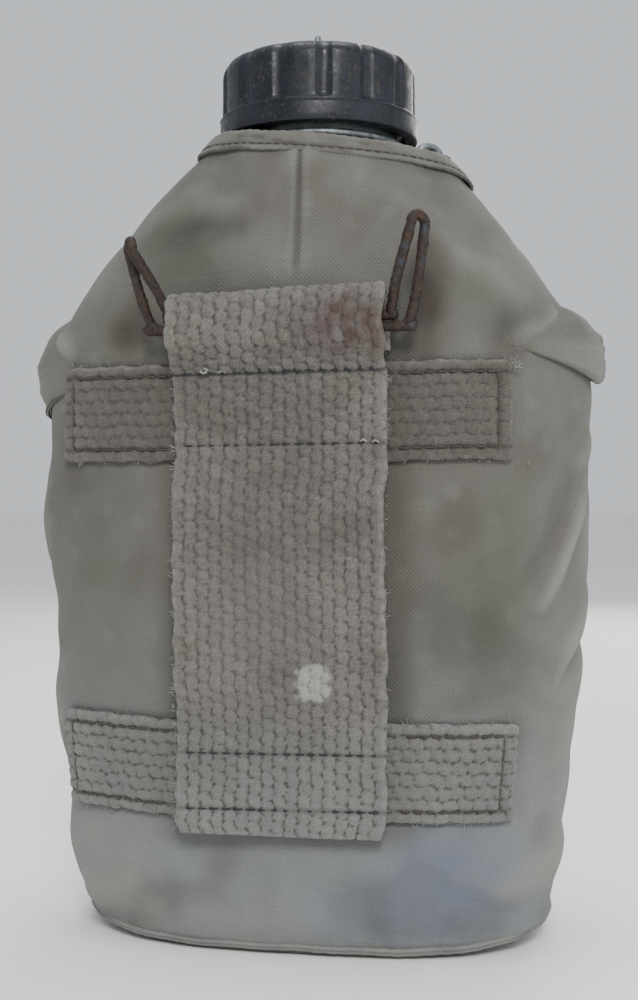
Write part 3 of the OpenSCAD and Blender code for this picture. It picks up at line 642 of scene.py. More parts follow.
def plainPanel(name, u, z, off, thick, material, tintOf, seed, wave=0.4):
    middle = u.shape[1] // 2
    base = skin(u, z, off)
    cloth = clothOf(base, middle)
    push = wave * ripple(cloth[..., 0], z, 30, seed) + 0.3 * wave * ripple(cloth[..., 0], z, 11, seed + 1)
    edge = step(0, 6, z - z.min()) * step(0, 6, z.max() - z)
    push = np.clip(push * edge, -0.35, 1.6)
    normal = gridNormal(base)
    outer = base + normal * push[..., None]
    inner = skin(u, z, off - thick) + normal * (push * 0.8)[..., None]
    piece = sheetMesh(name, outer, inner, material, cloth, tintOf(cloth[..., 0], z, push))
    return piece, base


def paintFront(a, z, push):
    tint = 0.5 * paintCanvas(a + 300, z, 40) + 0.5 * paintCanvas(a * 0.6 + 900, z * 0.8, 44)
    return paintOver(tint, canvasLook["worn"], 0.3 * np.clip(push, 0, 1))


def paintFelt(a, z, push):
    tint = flatColour(a.shape, "#56534c")
    return paintOver(tint, "#6c6962", 0.4 + 0.3 * ripple(a, z, 8, 51))


frontPanel = {"from": 10.4, "to": 169.6, "topGap": 0.5}
feltLook = {"gap": 3, "off": -1.66, "thick": 1.45, "drop": 4.8}  # gap and drop stop it below the canvas edges


def makeFront():
    u = np.broadcast_to(np.linspace(frontPanel["from"], frontPanel["to"], 151), (121, 151))
    foot = cover["wallZ"] + footLift(u)
    z = foot + np.linspace(0, 1, 121)[:, None] * (cover["splitZ"] - frontPanel["topGap"] - foot)
    piece, base = plainPanel("canvasFront", u, z, 0, cover["canvas"], fadedDuck, paintFront, 61)
    fit(piece, "root", "canvas", "front_panel")
    declareCloth(base)


def makeLinings():
    k = feltLook
    low = boxMm("lining_back")[0][2]
    backU, _, backZ = backGrid(70, 91, low, k["drop"])
    frontU, frontZ = np.broadcast_arrays(np.linspace(frontPanel["from"], frontPanel["to"], 71),
                                         np.linspace(low + 2, cover["splitZ"] - k["gap"], 60)[:, None])
    for name, node, u, z in (("feltBack", "lining_back", backU, backZ),
                             ("feltFront", "lining_front", frontU, frontZ)):
        piece, base = plainPanel(name, u, z, k["off"], k["thick"], greyFelt, paintFelt, 71, 0.05)
        fit(piece, "root", "felt", node)
        declareCloth(base)


def makeDisc(name, node, z, thick, off, material, tint, slot):
    sides = 144
    radii = np.linspace(0.04, 1, 34)[::-1]
    turn = np.linspace(0, 360, sides + 1)
    rim = skin(turn, z, off)
    grid = np.stack([rim * (r, r, 1) for r in radii])[:, :sides]
    bump = 0.1 * ripple(grid[..., 0], grid[..., 1], 14, 81) * step(1, 0.8, radii)[:, None]
    lift = footLift(turn[:sides]) * radii[:, None] ** 9
    lower, upper = grid.copy(), grid.copy()
    lower[..., 2] = z + lift + np.clip(bump, 0, 0.2) + 0.25 * step(0.97, 1, radii)[:, None]
    upper[..., 2] = z + lift + thick
    count = len(radii) * sides
    faces = ringFaces(len(radii), sides, False)
    ring = np.arange(sides)
    edge = np.stack([ring, np.roll(ring, -1), np.roll(ring, -1) + count, ring + count], -1)
    half = sides // 2 - 1
    centre = np.array([(k, k + 1, sides - 2 - k, sides - 1 - k) for k in range(half)]) + count - sides
    faces = np.concatenate([faces[:, ::-1], faces + count, edge, centre[:, ::-1], centre + count])
    flat = np.concatenate([grid[..., :2].reshape(-1, 2)] * 2)
    colours = tint(flat[:, 0], flat[:, 1] + 400, 0 * flat[:, 0])
    points = np.concatenate([lower.reshape(-1, 3), upper.reshape(-1, 3)])
    piece = makeMesh(name, points, faces, material, flat, colours)
    fit(piece, "root", slot, node)
    return piece, rim


def makeBase():
    base, rim = makeDisc("canvasBase", "base_panel", 0.0, 1.18, -0.15, fadedDuck, paintFront, "canvas")
    feltLow, feltHigh = boxMm("lining_base")
    felt, _ = makeDisc("feltBase", "lining_base", feltLow[2], feltHigh[2] - feltLow[2] - 0.1, -1.85, greyFelt,
                       paintFelt, "felt")


def makeWelt():  # piping sewn into the seam between base and wall
    count, sides = 420, 12
    turn = np.linspace(0, 360, count, endpoint=False)
    wander = 0.12 * np.sin(np.radians(turn * 7)) + 0.1 * np.sin(np.radians(turn * 23))
    path = skin(turn, 1.75, 0.55) + np.stack([0 * turn, 0 * turn, wander + footLift(turn)], -1)
    radius = 0.88 + 0.09 * ripple(turn, 0 * turn, 40, 91) + 0.07 * np.sin(np.radians(turn) * 96)
    points, faces = tubeParts(path, np.clip(radius, 0.8, 1.2), sides, True)
    along = np.repeat(np.linspace(0, 420, count), sides)  # the welt is about 420 mm long and 6 mm round
    cloth = np.stack([along, np.tile(np.linspace(0, 6, sides), count)], -1)
    tint = paintCanvas(along - 210, 0 * along + 3, 7)
    tint = paintOver(tint, canvasLook["worn"], 0.55 + 0.3 * ripple(along, 0 * along, 14, 92))
    fit(makeMesh("baseWelt", points, faces, fadedDuck, cloth, tint), "root", "canvas", "base_piping")


makeFront()
makeLinings()
makeBase()
makeWelt()
print("front, base and linings are made")


# Folded cloth at both shoulders

ears = {
    "right": {"node": "shoulder_fold_right", "from": 41, "to": 104, "top": (150, 160.8, 149),
              "low": (148.4, 140.8, 143), "stand": 3.9, "roll": 1.5, "peak": 0.6, "close": 1.0},
    "left": {"node": "shoulder_fold_left", "from": -106, "to": -46, "top": (150, 160.5, 149),
             "low": (138, 133.0, 139), "stand": 3.3, "roll": 1.2, "peak": 0.45, "close": 0.3},
}
rollEnd = {  # the right roll's end: a hollow, a lip round it and a crease on the fold's crown
    "hollow": [(78, 150), (80.5, 147), (81, 143)],
    "lip": [(72, 147.5), (78, 152.5), (82.5, 151), (84, 146), (82.5, 142.5)],
    "crown": [(54, 147), (62, 153), (70, 156)],
}


def makeEar(side):
    look = ears[side]
    rows, cols = 90, 120
    p = np.linspace(0, 1, cols)
    w = look["from"] + p * (look["to"] - look["from"])
    peak = look["peak"]
    warped = np.where(p < peak, 0.5 * p / peak, 0.5 + 0.5 * (p - peak) / (1 - peak))
    arch = np.sin(math.pi * warped)
    ends = look["top"][0] + (look["top"][2] - look["top"][0]) * p
    top = ends + (look["top"][1] - ends) * arch ** 0.55
    ends = look["low"][0] + (look["low"][2] - look["low"][0]) * p
    low = ends + (look["low"][1] - ends) * arch ** 1.1
    stand = 0.5 + look["stand"] * arch ** 0.75
    roll = 0.25 + look["roll"] * arch ** 0.7
    q = np.linspace(0, 1, rows)
    offs, heights = np.zeros((rows, cols)), np.zeros((rows, cols))
    for c in range(cols):
        fall = top[c] - low[c]
        out, curl, shut = stand[c], roll[c], look["close"]
        path = [(0.15, top[c]), (out * 0.62, top[c] - fall * 0.10), (out * 1.02, top[c] - fall * 0.30),
                (out * 1.06, top[c] - fall * 0.58), (out * 0.86 * shut, low[c] + curl * 1.3),
                ((out * 0.80 - curl * 0.3) * shut, low[c] + curl * 0.35),
                ((out * 0.62 - curl * 0.7) * shut, low[c] + curl * 0.15),
                ((out * 0.45 - curl * 0.7) * shut, low[c] + curl * 0.8)]
        path = smoothPath(path, 14)
        line = pathAt(path, q * lengthsOf(path)[-1])
        offs[:, c], heights[:, c] = line[:, 0], line[:, 1]
    offs, heights = offs[::-1], heights[::-1]  # rows run upwards
    u = 270 + np.broadcast_to(w, offs.shape)
    a = np.broadcast_to(np.array([arcTo(v, 150) for v in w]), offs.shape)
    soft = 0.35 * ripple(a, heights * 1.4 + offs, 14, 101 if side == "right" else 102) \
        + 0.12 * ripple(a, heights * 2 + offs, 5, 103)
    if side == "right":
        soft = soft + creaseOn(a, heights, rollEnd["lip"], 1.3, 1.5)
        soft = soft - creaseOn(a, heights, rollEnd["hollow"], 1.6, 2.2)
        soft = soft + creaseOn(a, heights, rollEnd["crown"], 2.6, 0.9)
    offs = np.maximum(offs + soft * arch * step(0, 0.25, 1 - q[::-1])[:, None], 0.12)
    outer = skin(u, heights, offs)
    normal = gridNormal(outer)
    inner = outer - normal * 0.95
    rise = np.cumsum(np.linalg.norm(np.diff(outer, axis=0), axis=-1), axis=0)
    rise = np.concatenate([np.zeros((1, cols)), rise])
    cloth = np.stack([a, 130 + rise], -1)
    tint = paintCanvas(a, heights)
    # painted highlight over wear: the bulging lip of the fold is painted paler
    crest = step(0.35, 0.12, np.abs(q[:, None] - 0.27) + 0 * offs)
    tint = paintOver(tint, canvasLook["worn"], 0.55 * crest * arch)
    # painted shade: the tucked under edge of the fold is darkened with the soil colour
    tint = paintOver(tint, canvasLook["soil"], 0.35 * step(0.12, 0.0, q)[:, None] + 0 * offs)
    if side == "right":
        # painted shade: the hollow at the roll's end is darkened
        tint = paintOver(tint, canvasLook["dark"], 0.5 * creaseOn(a, heights, rollEnd["hollow"], 1.5, 1))
    piece = sheetMesh(f"shoulderFold{side.capitalize()}", outer, inner, fadedDuck, cloth, tint)
    fit(piece, "root", "canvas", look["node"])
    declareCloth(outer)


makeEar("right")
makeEar("left")
print("shoulder folds are made")


# Bound edge of the mouth

binding = {"depth": 4.3, "out": 1.0, "inside": -2.3, "thick": 0.85, "stitchDrop": 2.7}


def makeBinding():
    u = np.linspace(142, 398, 391)
    k = binding
    outline = smoothPath([(k["out"], -k["depth"]), (k["out"] + 0.05, -2), (k["out"] - 0.05, -0.3),
                          (0.6, 0.75), (-0.6, 1.0), (-1.8, 0.75), (k["inside"] - 0.05, -0.4),
                          (k["inside"], -k["depth"])], 6)
    outline = pathAt(outline, np.linspace(0, lengthsOf(outline)[-1], 34))
    a = np.array([arcTo(v, 196) for v in (u[::10] - 270)])
    a = np.interp(u, u[::10], a)
    rough = 0.10 * ripple(a, 0 * a, 11, 111) + 0.06 * np.sin(a * 2.1)
    groove = -0.18 * np.exp(-((outline[:, 1] + k["stitchDrop"]) / 0.45) ** 2) * (outline[:, 0] > 0)
    grids = []
    for inwards in (0, k["thick"]):
        towards = gridNormal(skin(u, mouthTop(u) + outline[:, 1:2], outline[:, :1]))
        grid = skin(u, mouthTop(u) + outline[:, 1:2] + rough, outline[:, :1])
        share = np.where(inwards, -inwards, groove[:, None] + 0.35 * rough)
        grids.append(grid + towards * np.broadcast_to(share, grid.shape[:2])[..., None])
    cloth = np.stack([np.broadcast_to(a, (34, len(u))),
                      np.broadcast_to(lengthsOf(outline)[:, None], (34, len(u)))], -1)
    z = np.broadcast_to(outline[:, 1:2], cloth.shape[:2])
    tint = flatColour(z.shape, "#53514b")
    tint = paintOver(tint, "#686660", 0.35 + 0.3 * ripple(a + 0 * z, z, 12, 112))
    tint = paintOver(tint, "#38352f", 0.5 * step(0.3, 1.8, ripple(a + 0 * z, z * 3, 8, 113)))
    tint = paintOver(tint, "#716d63", 0.5 * step(-0.3, 0.6, z))
    stitchLine = np.exp(-((z + k["stitchDrop"]) / 0.3) ** 2) * (outline[:, :1] > 0)
    tint = paintOver(tint, "#2c2b29", 0.6 * stitchLine)
    piece = sheetMesh("mouthBinding", grids[0], grids[1], boundTape, cloth, tint)
    fit(piece, "root", "webbing", "neck_binding")
    line = skin(u[::2], mouthTop(u[::2]) - k["stitchDrop"], k["out"] - 0.12)
    away = skin(u[::2], mouthTop(u[::2]) - k["stitchDrop"], k["out"] + 0.88) - line
    points, faces = joinParts(stitchParts(line, away, 2.3, 1.7, 0.16, 0.05))
    stitches = fit(makeMesh("mouthStitches", points, faces, brownThread), "root", "webbing")
    declareCloth(grids[0])


makeBinding()
print("mouth binding is made")


# Webbing: ribs run along the strap and each rib is a row of plump cells

def ribs(along, across, cellLong, ribWide, seed):  # height, 0 in a groove to 1 on a cell, and unevenness
    sway = 0.035 * np.sin(along * math.pi / cellLong) + 0.05 * ripple(along, across, 11, seed)
    rib = across / ribWide + sway
    column = np.floor(rib)
    inRib = rib - column
    wobble = 0.07 * ripple(along, column * 7.3, 12, seed + 1)
    cell = along / cellLong + 0.5 * (column % 2) + 0.16 * (inRib - 0.5) + wobble
    inCell = cell - np.floor(cell)
    number = np.floor(cell) * 12.9898 + column * 78.233
    uneven = np.modf(np.abs(np.sin(number)) * 43758.5)[0]
    dome = 1 - 0.82 * np.abs(2 * inRib - 1) ** 2.6 - 0.74 * np.abs(2 * inCell - 1) ** 2.6
    height = np.clip(dome, 0, 1) ** 0.7 * (0.84 + 0.16 * uneven)
    height = np.clip(height + 0.15 * ripple(along, across, 1.4, seed + 4, 14) - 0.03, 0, 1)
    return height, uneven


webbingLook = {
    # groove is the painted shade in the grooves between cells, and also darkens sunk stitch lines
    "yarn": "#5d5a56", "pale": "#747069", "groove": "#393733", "soil": "#48433c", "rust": "#452c24",
    # paintedLowLight is a pale grey painted low down as painted light from below
    "purple": "#55484f", "fluff": "#8f8c86", "spot": "#a3a29c", "paintedLowLight": "#7c7c7b", "thread": "#25262c",
}


def paintWebbing(height, a, b, edge, seed, uneven):
    look = webbingLook
    tint = flatColour(height.shape, look["yarn"])
    tint = paintOver(tint, look["pale"], 0.30 + 0.28 * ripple(a, b, 34, seed) + 0.35 * (uneven - 0.5))
    tint = paintOver(tint, look["soil"], 0.38 * step(0.1, 1.7, ripple(a, b, 20, seed + 1)))
    # painted shade: the grooves between the cells are darkened
    tint = paintOver(tint, look["groove"], 0.75 * (1 - step(0.0, 0.5, height)))
    tint = paintOver(tint, look["pale"], 0.30 * step(0.7, 1.0, height))
    fleck = np.random.default_rng(seed + 5).normal(0, 1, height.shape)
    tint = tint * (1 + 0.09 * fleck + 0.08 * ripple(a, b, 1.1, seed + 6, 12))[..., None].clip(0.6, 1.5)
    worn = 0.7 + 0.4 * ripple(a, b, 3, seed + 2)
    tint = paintOver(tint, look["fluff"], 0.42 * step(1.6, 0.3, edge) * worn)
    return tint


strapLook = {"thick": 2.2, "off": 0.35, "cell": 3.4, "rib": 3.0, "rows": 62, "cols": 300, "ribDepth": 0.62,
             "endStitch": 3.6, "rowStitch": 3.0}


def makeStrap(name, node, box, seed):
    k = strapLook
    low, high = box[0][2], box[1][2]
    middleZ = (low + high) / 2
    w = np.linspace(-75, 75, 601)
    line = skin(270 + w, middleZ)
    w = w[(line[:, 0] > box[0][0]) & (line[:, 0] < box[1][0])]
    leftEnd = arcTo(w[0], middleZ)
    place = lengthsOf(skin(270 + w, middleZ))
    at = np.linspace(0, place[-1], k["cols"])
    w = np.interp(at, place, w)
    t = np.linspace(0, 1, k["rows"])[:, None]
    a = np.broadcast_to(at + leftEnd, (k["rows"], k["cols"]))
    fromEnd = np.minimum(at, place[-1] - at)[None, :] + 0 * t
    pinch = 0.5 * step(3.2, 0, fromEnd) ** 2
    ragged = 0.28 * ripple(a, 0 * a + seed, 6, seed) + 0.10 * np.sin(a * 2.0)
    z = low + pinch + (high - low - 2 * pinch) * t + ragged * (2 * t - 1) * 0.6
    z = z + 0.3 * ripple(a, 0 * a, 45, seed + 9)
    v = (high - low) * t + 0 * a
    height, uneven = ribs(a, v, k["cell"], k["rib"], seed)
    edge = np.minimum(np.minimum(v, high - low - v), fromEnd)
    rounded = np.sqrt(np.clip(1 - (1 - np.clip(edge / 1.5, 0, 1)) ** 2, 0, 1))
    boxLine = np.minimum(np.abs(fromEnd - k["endStitch"]) + 100 * (edge < 2.0),
                         np.minimum(np.abs(v - k["rowStitch"]), np.abs(high - low - k["rowStitch"] - v)))
    sunk = np.exp(-(boxLine / 0.55) ** 2)
    inBelt = step(-31, -29, a) * step(26, 24, a)
    puffed = 0.35 * step(6, 2.5, fromEnd) * (1 - inBelt)
    outOff = k["off"] + k["thick"] * (0.35 + 0.65 * rounded)
    outOff = outOff - k["ribDepth"] * (1 - height) * rounded * (1 - 0.4 * sunk)
    outOff = outOff - 0.5 * sunk + puffed + 0.10 * ripple(a, v, 3.0, seed + 3) * (1 - inBelt)
    outOff = np.where(inBelt > 0.5, np.minimum(outOff, k["off"] + k["thick"] - 0.05), outOff)
    u = 270 + np.broadcast_to(w, a.shape)
    outer = skin(u, z, outOff)
    inner = skin(u, z, k["off"] + 0.5 * k["thick"] * (1 - rounded))
    cloth = np.stack([a, v], -1)
    tint = paintWebbing(height, a, v, edge, seed, uneven)
    tint = paintOver(tint, webbingLook["groove"], 0.7 * sunk)
    if low > 90:
        tint = paintOver(tint, webbingLook["rust"], 0.28 * step(32, 44, a) * step(0.2, 1, height))
    # painted shade: the strap is darkened under and beside the belt webbing
    tint = paintOver(tint, webbingLook["soil"], 0.45 * step(38, 27, np.abs(a + 2.5)))
    soilAbovePaintedLightBelow = webbingLook["soil" if low > 90 else "paintedLowLight"]  # the lower strap's cell tops are painted paler as painted light from below, the upper strap's get the soil colour
    tint = paintOver(tint, soilAbovePaintedLightBelow, 0.4 * step(0, 0.4, height))
    piece = sheetMesh(name, outer, inner, wornWebbing, cloth, tint)
    fit(piece, "root", "webbing", node)
    parts = []

    def surfaceLine(aLine, vLine):
        wLine = np.interp(aLine - leftEnd, at, w)
        offLine = k["off"] + k["thick"] - 0.45
        return skin(270 + wLine, low + vLine + 0.3 * ripple(aLine, 0 * aLine, 45, seed + 9), offLine)

    for end, inside in ((leftEnd + k["endStitch"], -29.5), (leftEnd + place[-1] - k["endStitch"], 24.5)):
        vLine = np.linspace(k["rowStitch"], high - low - k["rowStitch"], 40)
        aLine = np.linspace(end, inside, 60)
        for points in (surfaceLine(np.full(40, end), vLine),
                       surfaceLine(aLine, np.full(60, k["rowStitch"])),
                       surfaceLine(aLine, np.full(60, high - low - k["rowStitch"]))):
            flat = points * (1, 1, 0)
            away = flat / np.linalg.norm(flat, axis=1, keepdims=True) * (0.4, 1, 0)
            parts += stitchParts(points, away, 3.0, 2.2, 0.24, 0.1)
    points, faces = joinParts(parts)
    stitches = fit(makeMesh(name + "Stitches", points, faces, brownThread), "root", "webbing")
    declareCloth(inner)


makeStrap("upperCrossStrap", "upper_cross_strap", upperStrap, 121)
makeStrap("lowerCrossStrap", "lower_cross_strap", lowerStrap, 131)
print("cross straps are made")


# Wide webbing down the back, folded over the hook's bar at the top

beltLook = {
    "route": [(39.55, 30.6), (39.55, 59), (42.1, 67), (42.1, 112), (39.55, 120), (39.55, 142), (45.75, 150)],
    "foldY": 41.45, "foldZ": 157, "foldR": 4.3, "tail": (37.15, 147), "thick": 2.4, "ribs": 17, "cell": 3.4,
    "rows": 372, "cols": 129, "ribDepth": 0.7, "flare": 1.3,
    "stitchRows": (142.6, 125, 50.5, 37), "rowTilt": 0.012,
    "spot": (6.0, 68.0, 4.3), "rust": (14, 153, 7.5, 6.5),
}


def makeBelt():
    k = beltLook
    left, right = belt[0][0], belt[1][0]
    arc = [(k["foldY"] + k["foldR"] * math.cos(r), k["foldZ"] + k["foldR"] * math.sin(r))
           for r in map(math.radians, range(0, 181, 15))]
    path = pathAt(np.array(k["route"] + arc + [k["tail"]]), np.arange(0, 400, 0.25))
    path = path[np.concatenate([[True], np.linalg.norm(np.diff(path, axis=0), axis=1) > 1e-6])]
    kernel = np.hanning(15) / np.hanning(15).sum()
    path = np.stack([np.convolve(np.pad(path[:, i], 7, mode="reflect", reflect_type="odd"), kernel, "valid")
                     for i in (0, 1)], 1)
    total = lengthsOf(path)[-1]
    path = pathAt(path, np.linspace(0, total, k["rows"]))
    tangent = np.gradient(path, axis=0)
    tangent /= np.linalg.norm(tangent, axis=1, keepdims=True)
    normal = np.stack([tangent[:, 1], -tangent[:, 0]], -1)
    s = np.broadcast_to(np.linspace(0, total, k["rows"])[:, None], (k["rows"], k["cols"]))
    t = np.broadcast_to(np.linspace(0, 1, k["cols"]), s.shape)
    flare = k["flare"] * step(105, 156, path[:, 1:2])
    ragged = 0.22 * ripple(s, 0 * s, 7, 141) + 0.35 * ripple(s, 0 * s, 60, 142)
    leftEdge = left - flare + ragged + 0.10 * np.sin(s * 1.85)
    rightEdge = right + 0.3 * step(105, 156, path[:, 1:2]) + 0.22 * ripple(s, 0 * s, 8, 143)
    rightEdge = rightEdge + 0.3 * ripple(s, 0 * s, 55, 144)
    corner = step(3.5, 0, s)
    leftEdge = leftEdge + 0.9 * corner
    rightEdge = rightEdge - 0.9 * corner
    x = leftEdge + (rightEdge - leftEdge) * t
    v = (right - left) * t
    ribWide = (right - left) / k["ribs"]
    height, uneven = ribs(s, v, k["cell"], ribWide, 145)
    edge = np.minimum(np.minimum(v, right - left - v), np.minimum(s, total - s) + 0.2)
    rounded = np.sqrt(np.clip(1 - (1 - np.clip(edge / 1.5, 0, 1)) ** 2, 0, 1))
    z = path[:, 1:2] + 0 * s
    onFace = (s < lengthsOf(path)[np.argmax(path[:, 1])])
    sunk = sum(np.exp(-((z - row - k["rowTilt"] * x) / 0.6) ** 2) for row in k["stitchRows"]) * onFace
    half = k["thick"] / 2 * (0.25 + 0.75 * rounded)
    bulge = 0.12 * ripple(v, s, 26, 146)
    lift = half - k["ribDepth"] * (1 - height) * rounded * (1 - 0.45 * sunk)
    lift = lift - 0.55 * np.clip(sunk, 0, 1) + 0.15
    lift = lift + bulge + 0.06 * ripple(v, s, 2.4, 147)
    slant = 0.034 * (x - (left + right) / 2) * step(140, 156, z)

    def place(out):
        d = path[:, 0:1] + normal[:, 0:1] * out
        h = path[:, 1:2] + normal[:, 1:2] * out + slant
        return np.stack([x, -d, h], -1)

    innerDepth = half - 0.2 * (1 - height) * rounded
    outer, inner = place(lift), place(-innerDepth)
    base = place(0 * s)
    look = webbingLook
    tint = paintWebbing(height, v, s, edge, 151, uneven)
    cx, cz, reach = k["spot"]
    cellNoise = 0.22 * (uneven - 0.5) * reach
    ring = np.hypot((x - cx), (z - cz) * 0.95) + cellNoise + 0.5 * ripple(v, s, 4, 152)
    tint = paintOver(tint, look["spot"], 0.8 * step(reach + 0.5, reach - 0.7, ring) * onFace
                     * (0.5 + 0.5 * step(0.05, 0.5, height)))
    cx, cz, reachX, reachZ = k["rust"]
    stain = blob(x, z, cx, cz, reachX, reachZ) * onFace * (0.8 + 0.45 * ripple(v, s, 5, 153))
    tint = paintOver(tint, look["rust"], 0.75 * stain)
    tint = paintOver(tint, look["purple"], 0.5 * blob(x, z, cx - 5, cz - 3, 4, 4) * onFace)
    tint = paintOver(tint, look["rust"], 0.5 * blob(x, z, right - 1, 150, 3, 6) * onFace)
    tint = paintOver(tint, look["soil"], 0.35 * blob(x, z, left + 3, 140, 8, 14) * onFace)
    tint = paintOver(tint, look["soil"], 0.30 * blob(x, z, -2, 112, 22, 22) * onFace)
    tint = paintOver(tint, look["pale"], 0.35 * blob(x, z, -8, 84, 16, 20) * onFace)
    # painted light: the belt's lower end is painted paler, as the light comes from below
    tint = paintOver(tint, look["paintedLowLight"], 0.55 * step(74, 34, z) * onFace * step(0, 0.4, height))
    topRow, *lowRows = k["stitchRows"]
    rowLine = np.exp(-((z - topRow - k["rowTilt"] * x) / 0.45) ** 2)
    tint = paintOver(tint, look["thread"], 0.75 * rowLine * onFace)
    for row, amount in zip(lowRows, (0.35, 0.5, 0.5)):
        rowLine = np.exp(-((z - row - k["rowTilt"] * x) / 0.5) ** 2)
        tint = paintOver(tint, look["groove"], amount * rowLine * onFace)
    cloth = np.stack([v, s], -1)
    piece = sheetMesh("beltWebbing", outer, inner, wornWebbing, cloth, tint)
    fit(piece, "root", "webbing", "belt_webbing")
    parts, pale = [], []
    face = np.argmax(path[:, 1])
    for row in k["stitchRows"]:
        xs = np.linspace(left + 2.0, right - 1.5, 60)
        d = np.interp(row, path[:face, 1], path[:face, 0])
        out = 0.62 if row > 130 else 0.5
        line = np.stack([xs, np.full(60, -(d + out)), row + k["rowTilt"] * xs], -1)
        thick = 0.3 if row > 130 else 0.22
        parts += stitchParts(line, np.array([0, -1.0, 0]), 3.0, 2.3, thick, 0.1)
    for x0, x1, row in ((left + 6.5, left + 8.4, 143.0), (right - 6, right - 4.6, 125.6),
                        (right - 3.2, right - 1.6, 125.4), (left + 11, left + 12.6, 142.4)):
        d = np.interp(row, path[:face, 1], path[:face, 0])
        loop = [(x0, -(d + 1.1), row), ((x0 + x1) / 2, -(d + 1.6), row + 0.35), (x1, -(d + 1.1), row - 0.1)]
        line = smoothPath(loop, 6)
        pale.append(tubeParts(line, 0.24, 6))
    knot = smoothPath([(left + 7.2, -41.0, 143.4), (left + 6.6, -42.0, 142.6), (left + 7.6, -42.2, 142.2),
                       (left + 8.2, -41.4, 143.2), (left + 8.8, -41.8, 144.0)], 8)
    pale.append(tubeParts(knot, 0.26, 6))
    stitches = fit(makeMesh("beltStitches", *joinParts(parts), darkThread), "root", "webbing")
    threads = fit(makeMesh("looseThreads", *joinParts(pale), paleThread), "root", "webbing")
    declareCloth(base)


makeBelt()
print("belt webbing is made")


# Worn fluff: single broken yarns along the edges of the webbing

fluffLook = {"count": 340, "long": (0.3, 1.2), "thick": 0.07, "tuft": 14, "tuftLong": (0.8, 2.0)}


def makeFluff():
    draw = np.random.default_rng(161)
    parts = []
    for _ in range(fluffLook["count"]):
        pick = draw.integers(0, 4)
        if pick < 2:
            box = upperStrap if pick else lowerStrap
            a = draw.uniform(-58, 58)
            if -30 < a < 25:
                continue
            side = draw.integers(0, 2)
            z = box[side][2] + (0.1 if side else -0.1)
            angles = np.arange(-75, 76, 15)
            w = np.interp(a, [arcTo(d, z) for d in angles], angles)
            start = skin(270 + w, z, 1.4)
            out = np.array([draw.normal(0, 0.6), -0.5, 1.0 if side else -1.0])
        else:
            z = draw.uniform(32, 158)
            x = belt[pick - 2][0] - (beltLook["flare"] * step(105, 156, z) if pick == 2 else 0)
            start = np.array([x, -(40.2 if z < 60 or z > 118 else 42.2), z])
            out = np.array([-1.0 if pick == 2 else 1.0, -0.5, draw.normal(0, 0.7)])
        out = out / np.linalg.norm(out)
        length = draw.uniform(*fluffLook["long"])
        bend = draw.normal(0, 0.35, 3)
        line = np.array([start + out * length * t + bend * length * t * t
                         for t in (-0.25, 0.15, 0.5, 0.8, 1.0)])
        parts.append(tubeParts(line, [fluffLook["thick"] * s for s in (1, 1, 0.9, 0.7, 0.4)], 4))
    angles = np.linspace(20, 70, 200)
    tuftAngle = np.interp(upperStrap[1][0] - 0.4, skin(270 + angles, upperStrap[1][2])[:, 0], angles)
    for _ in range(fluffLook["tuft"]):  # a tuft where the upper strap has frayed
        start = skin(270 + tuftAngle + draw.normal(0, 0.5), upperStrap[1][2] - 1.6 + draw.normal(0, 0.6), 2.0)
        out = np.array([1.0, -0.7, 0.6]) + draw.normal(0, 0.5, 3)
        length = draw.uniform(*fluffLook["tuftLong"])
        bend = draw.normal(0, 0.5, 3)
        line = np.array([start + out * length * t * 0.6 + bend * length * t * t
                         for t in (0, 0.3, 0.6, 0.85, 1.0)])
        parts.append(tubeParts(line, [0.12, 0.11, 0.1, 0.08, 0.05], 4))
    fit(makeMesh("frayedYarn", *joinParts(parts), paleThread), "root", "webbing")


makeFluff()
print("frayed yarn is made")


# Front flaps, sewn to the shoulders behind the hinge line and free in front of it

flapLook = {"hinge": 42, "curve": 11, "inner": (70, 80), "sewn": 11, "lowZ": 137, "highZ": 198.5, "off": 1.0,
            "hingeTop": (30.856, 20.396, 198.5), "hingeLow": (55.121, 26.852, 158.0)}


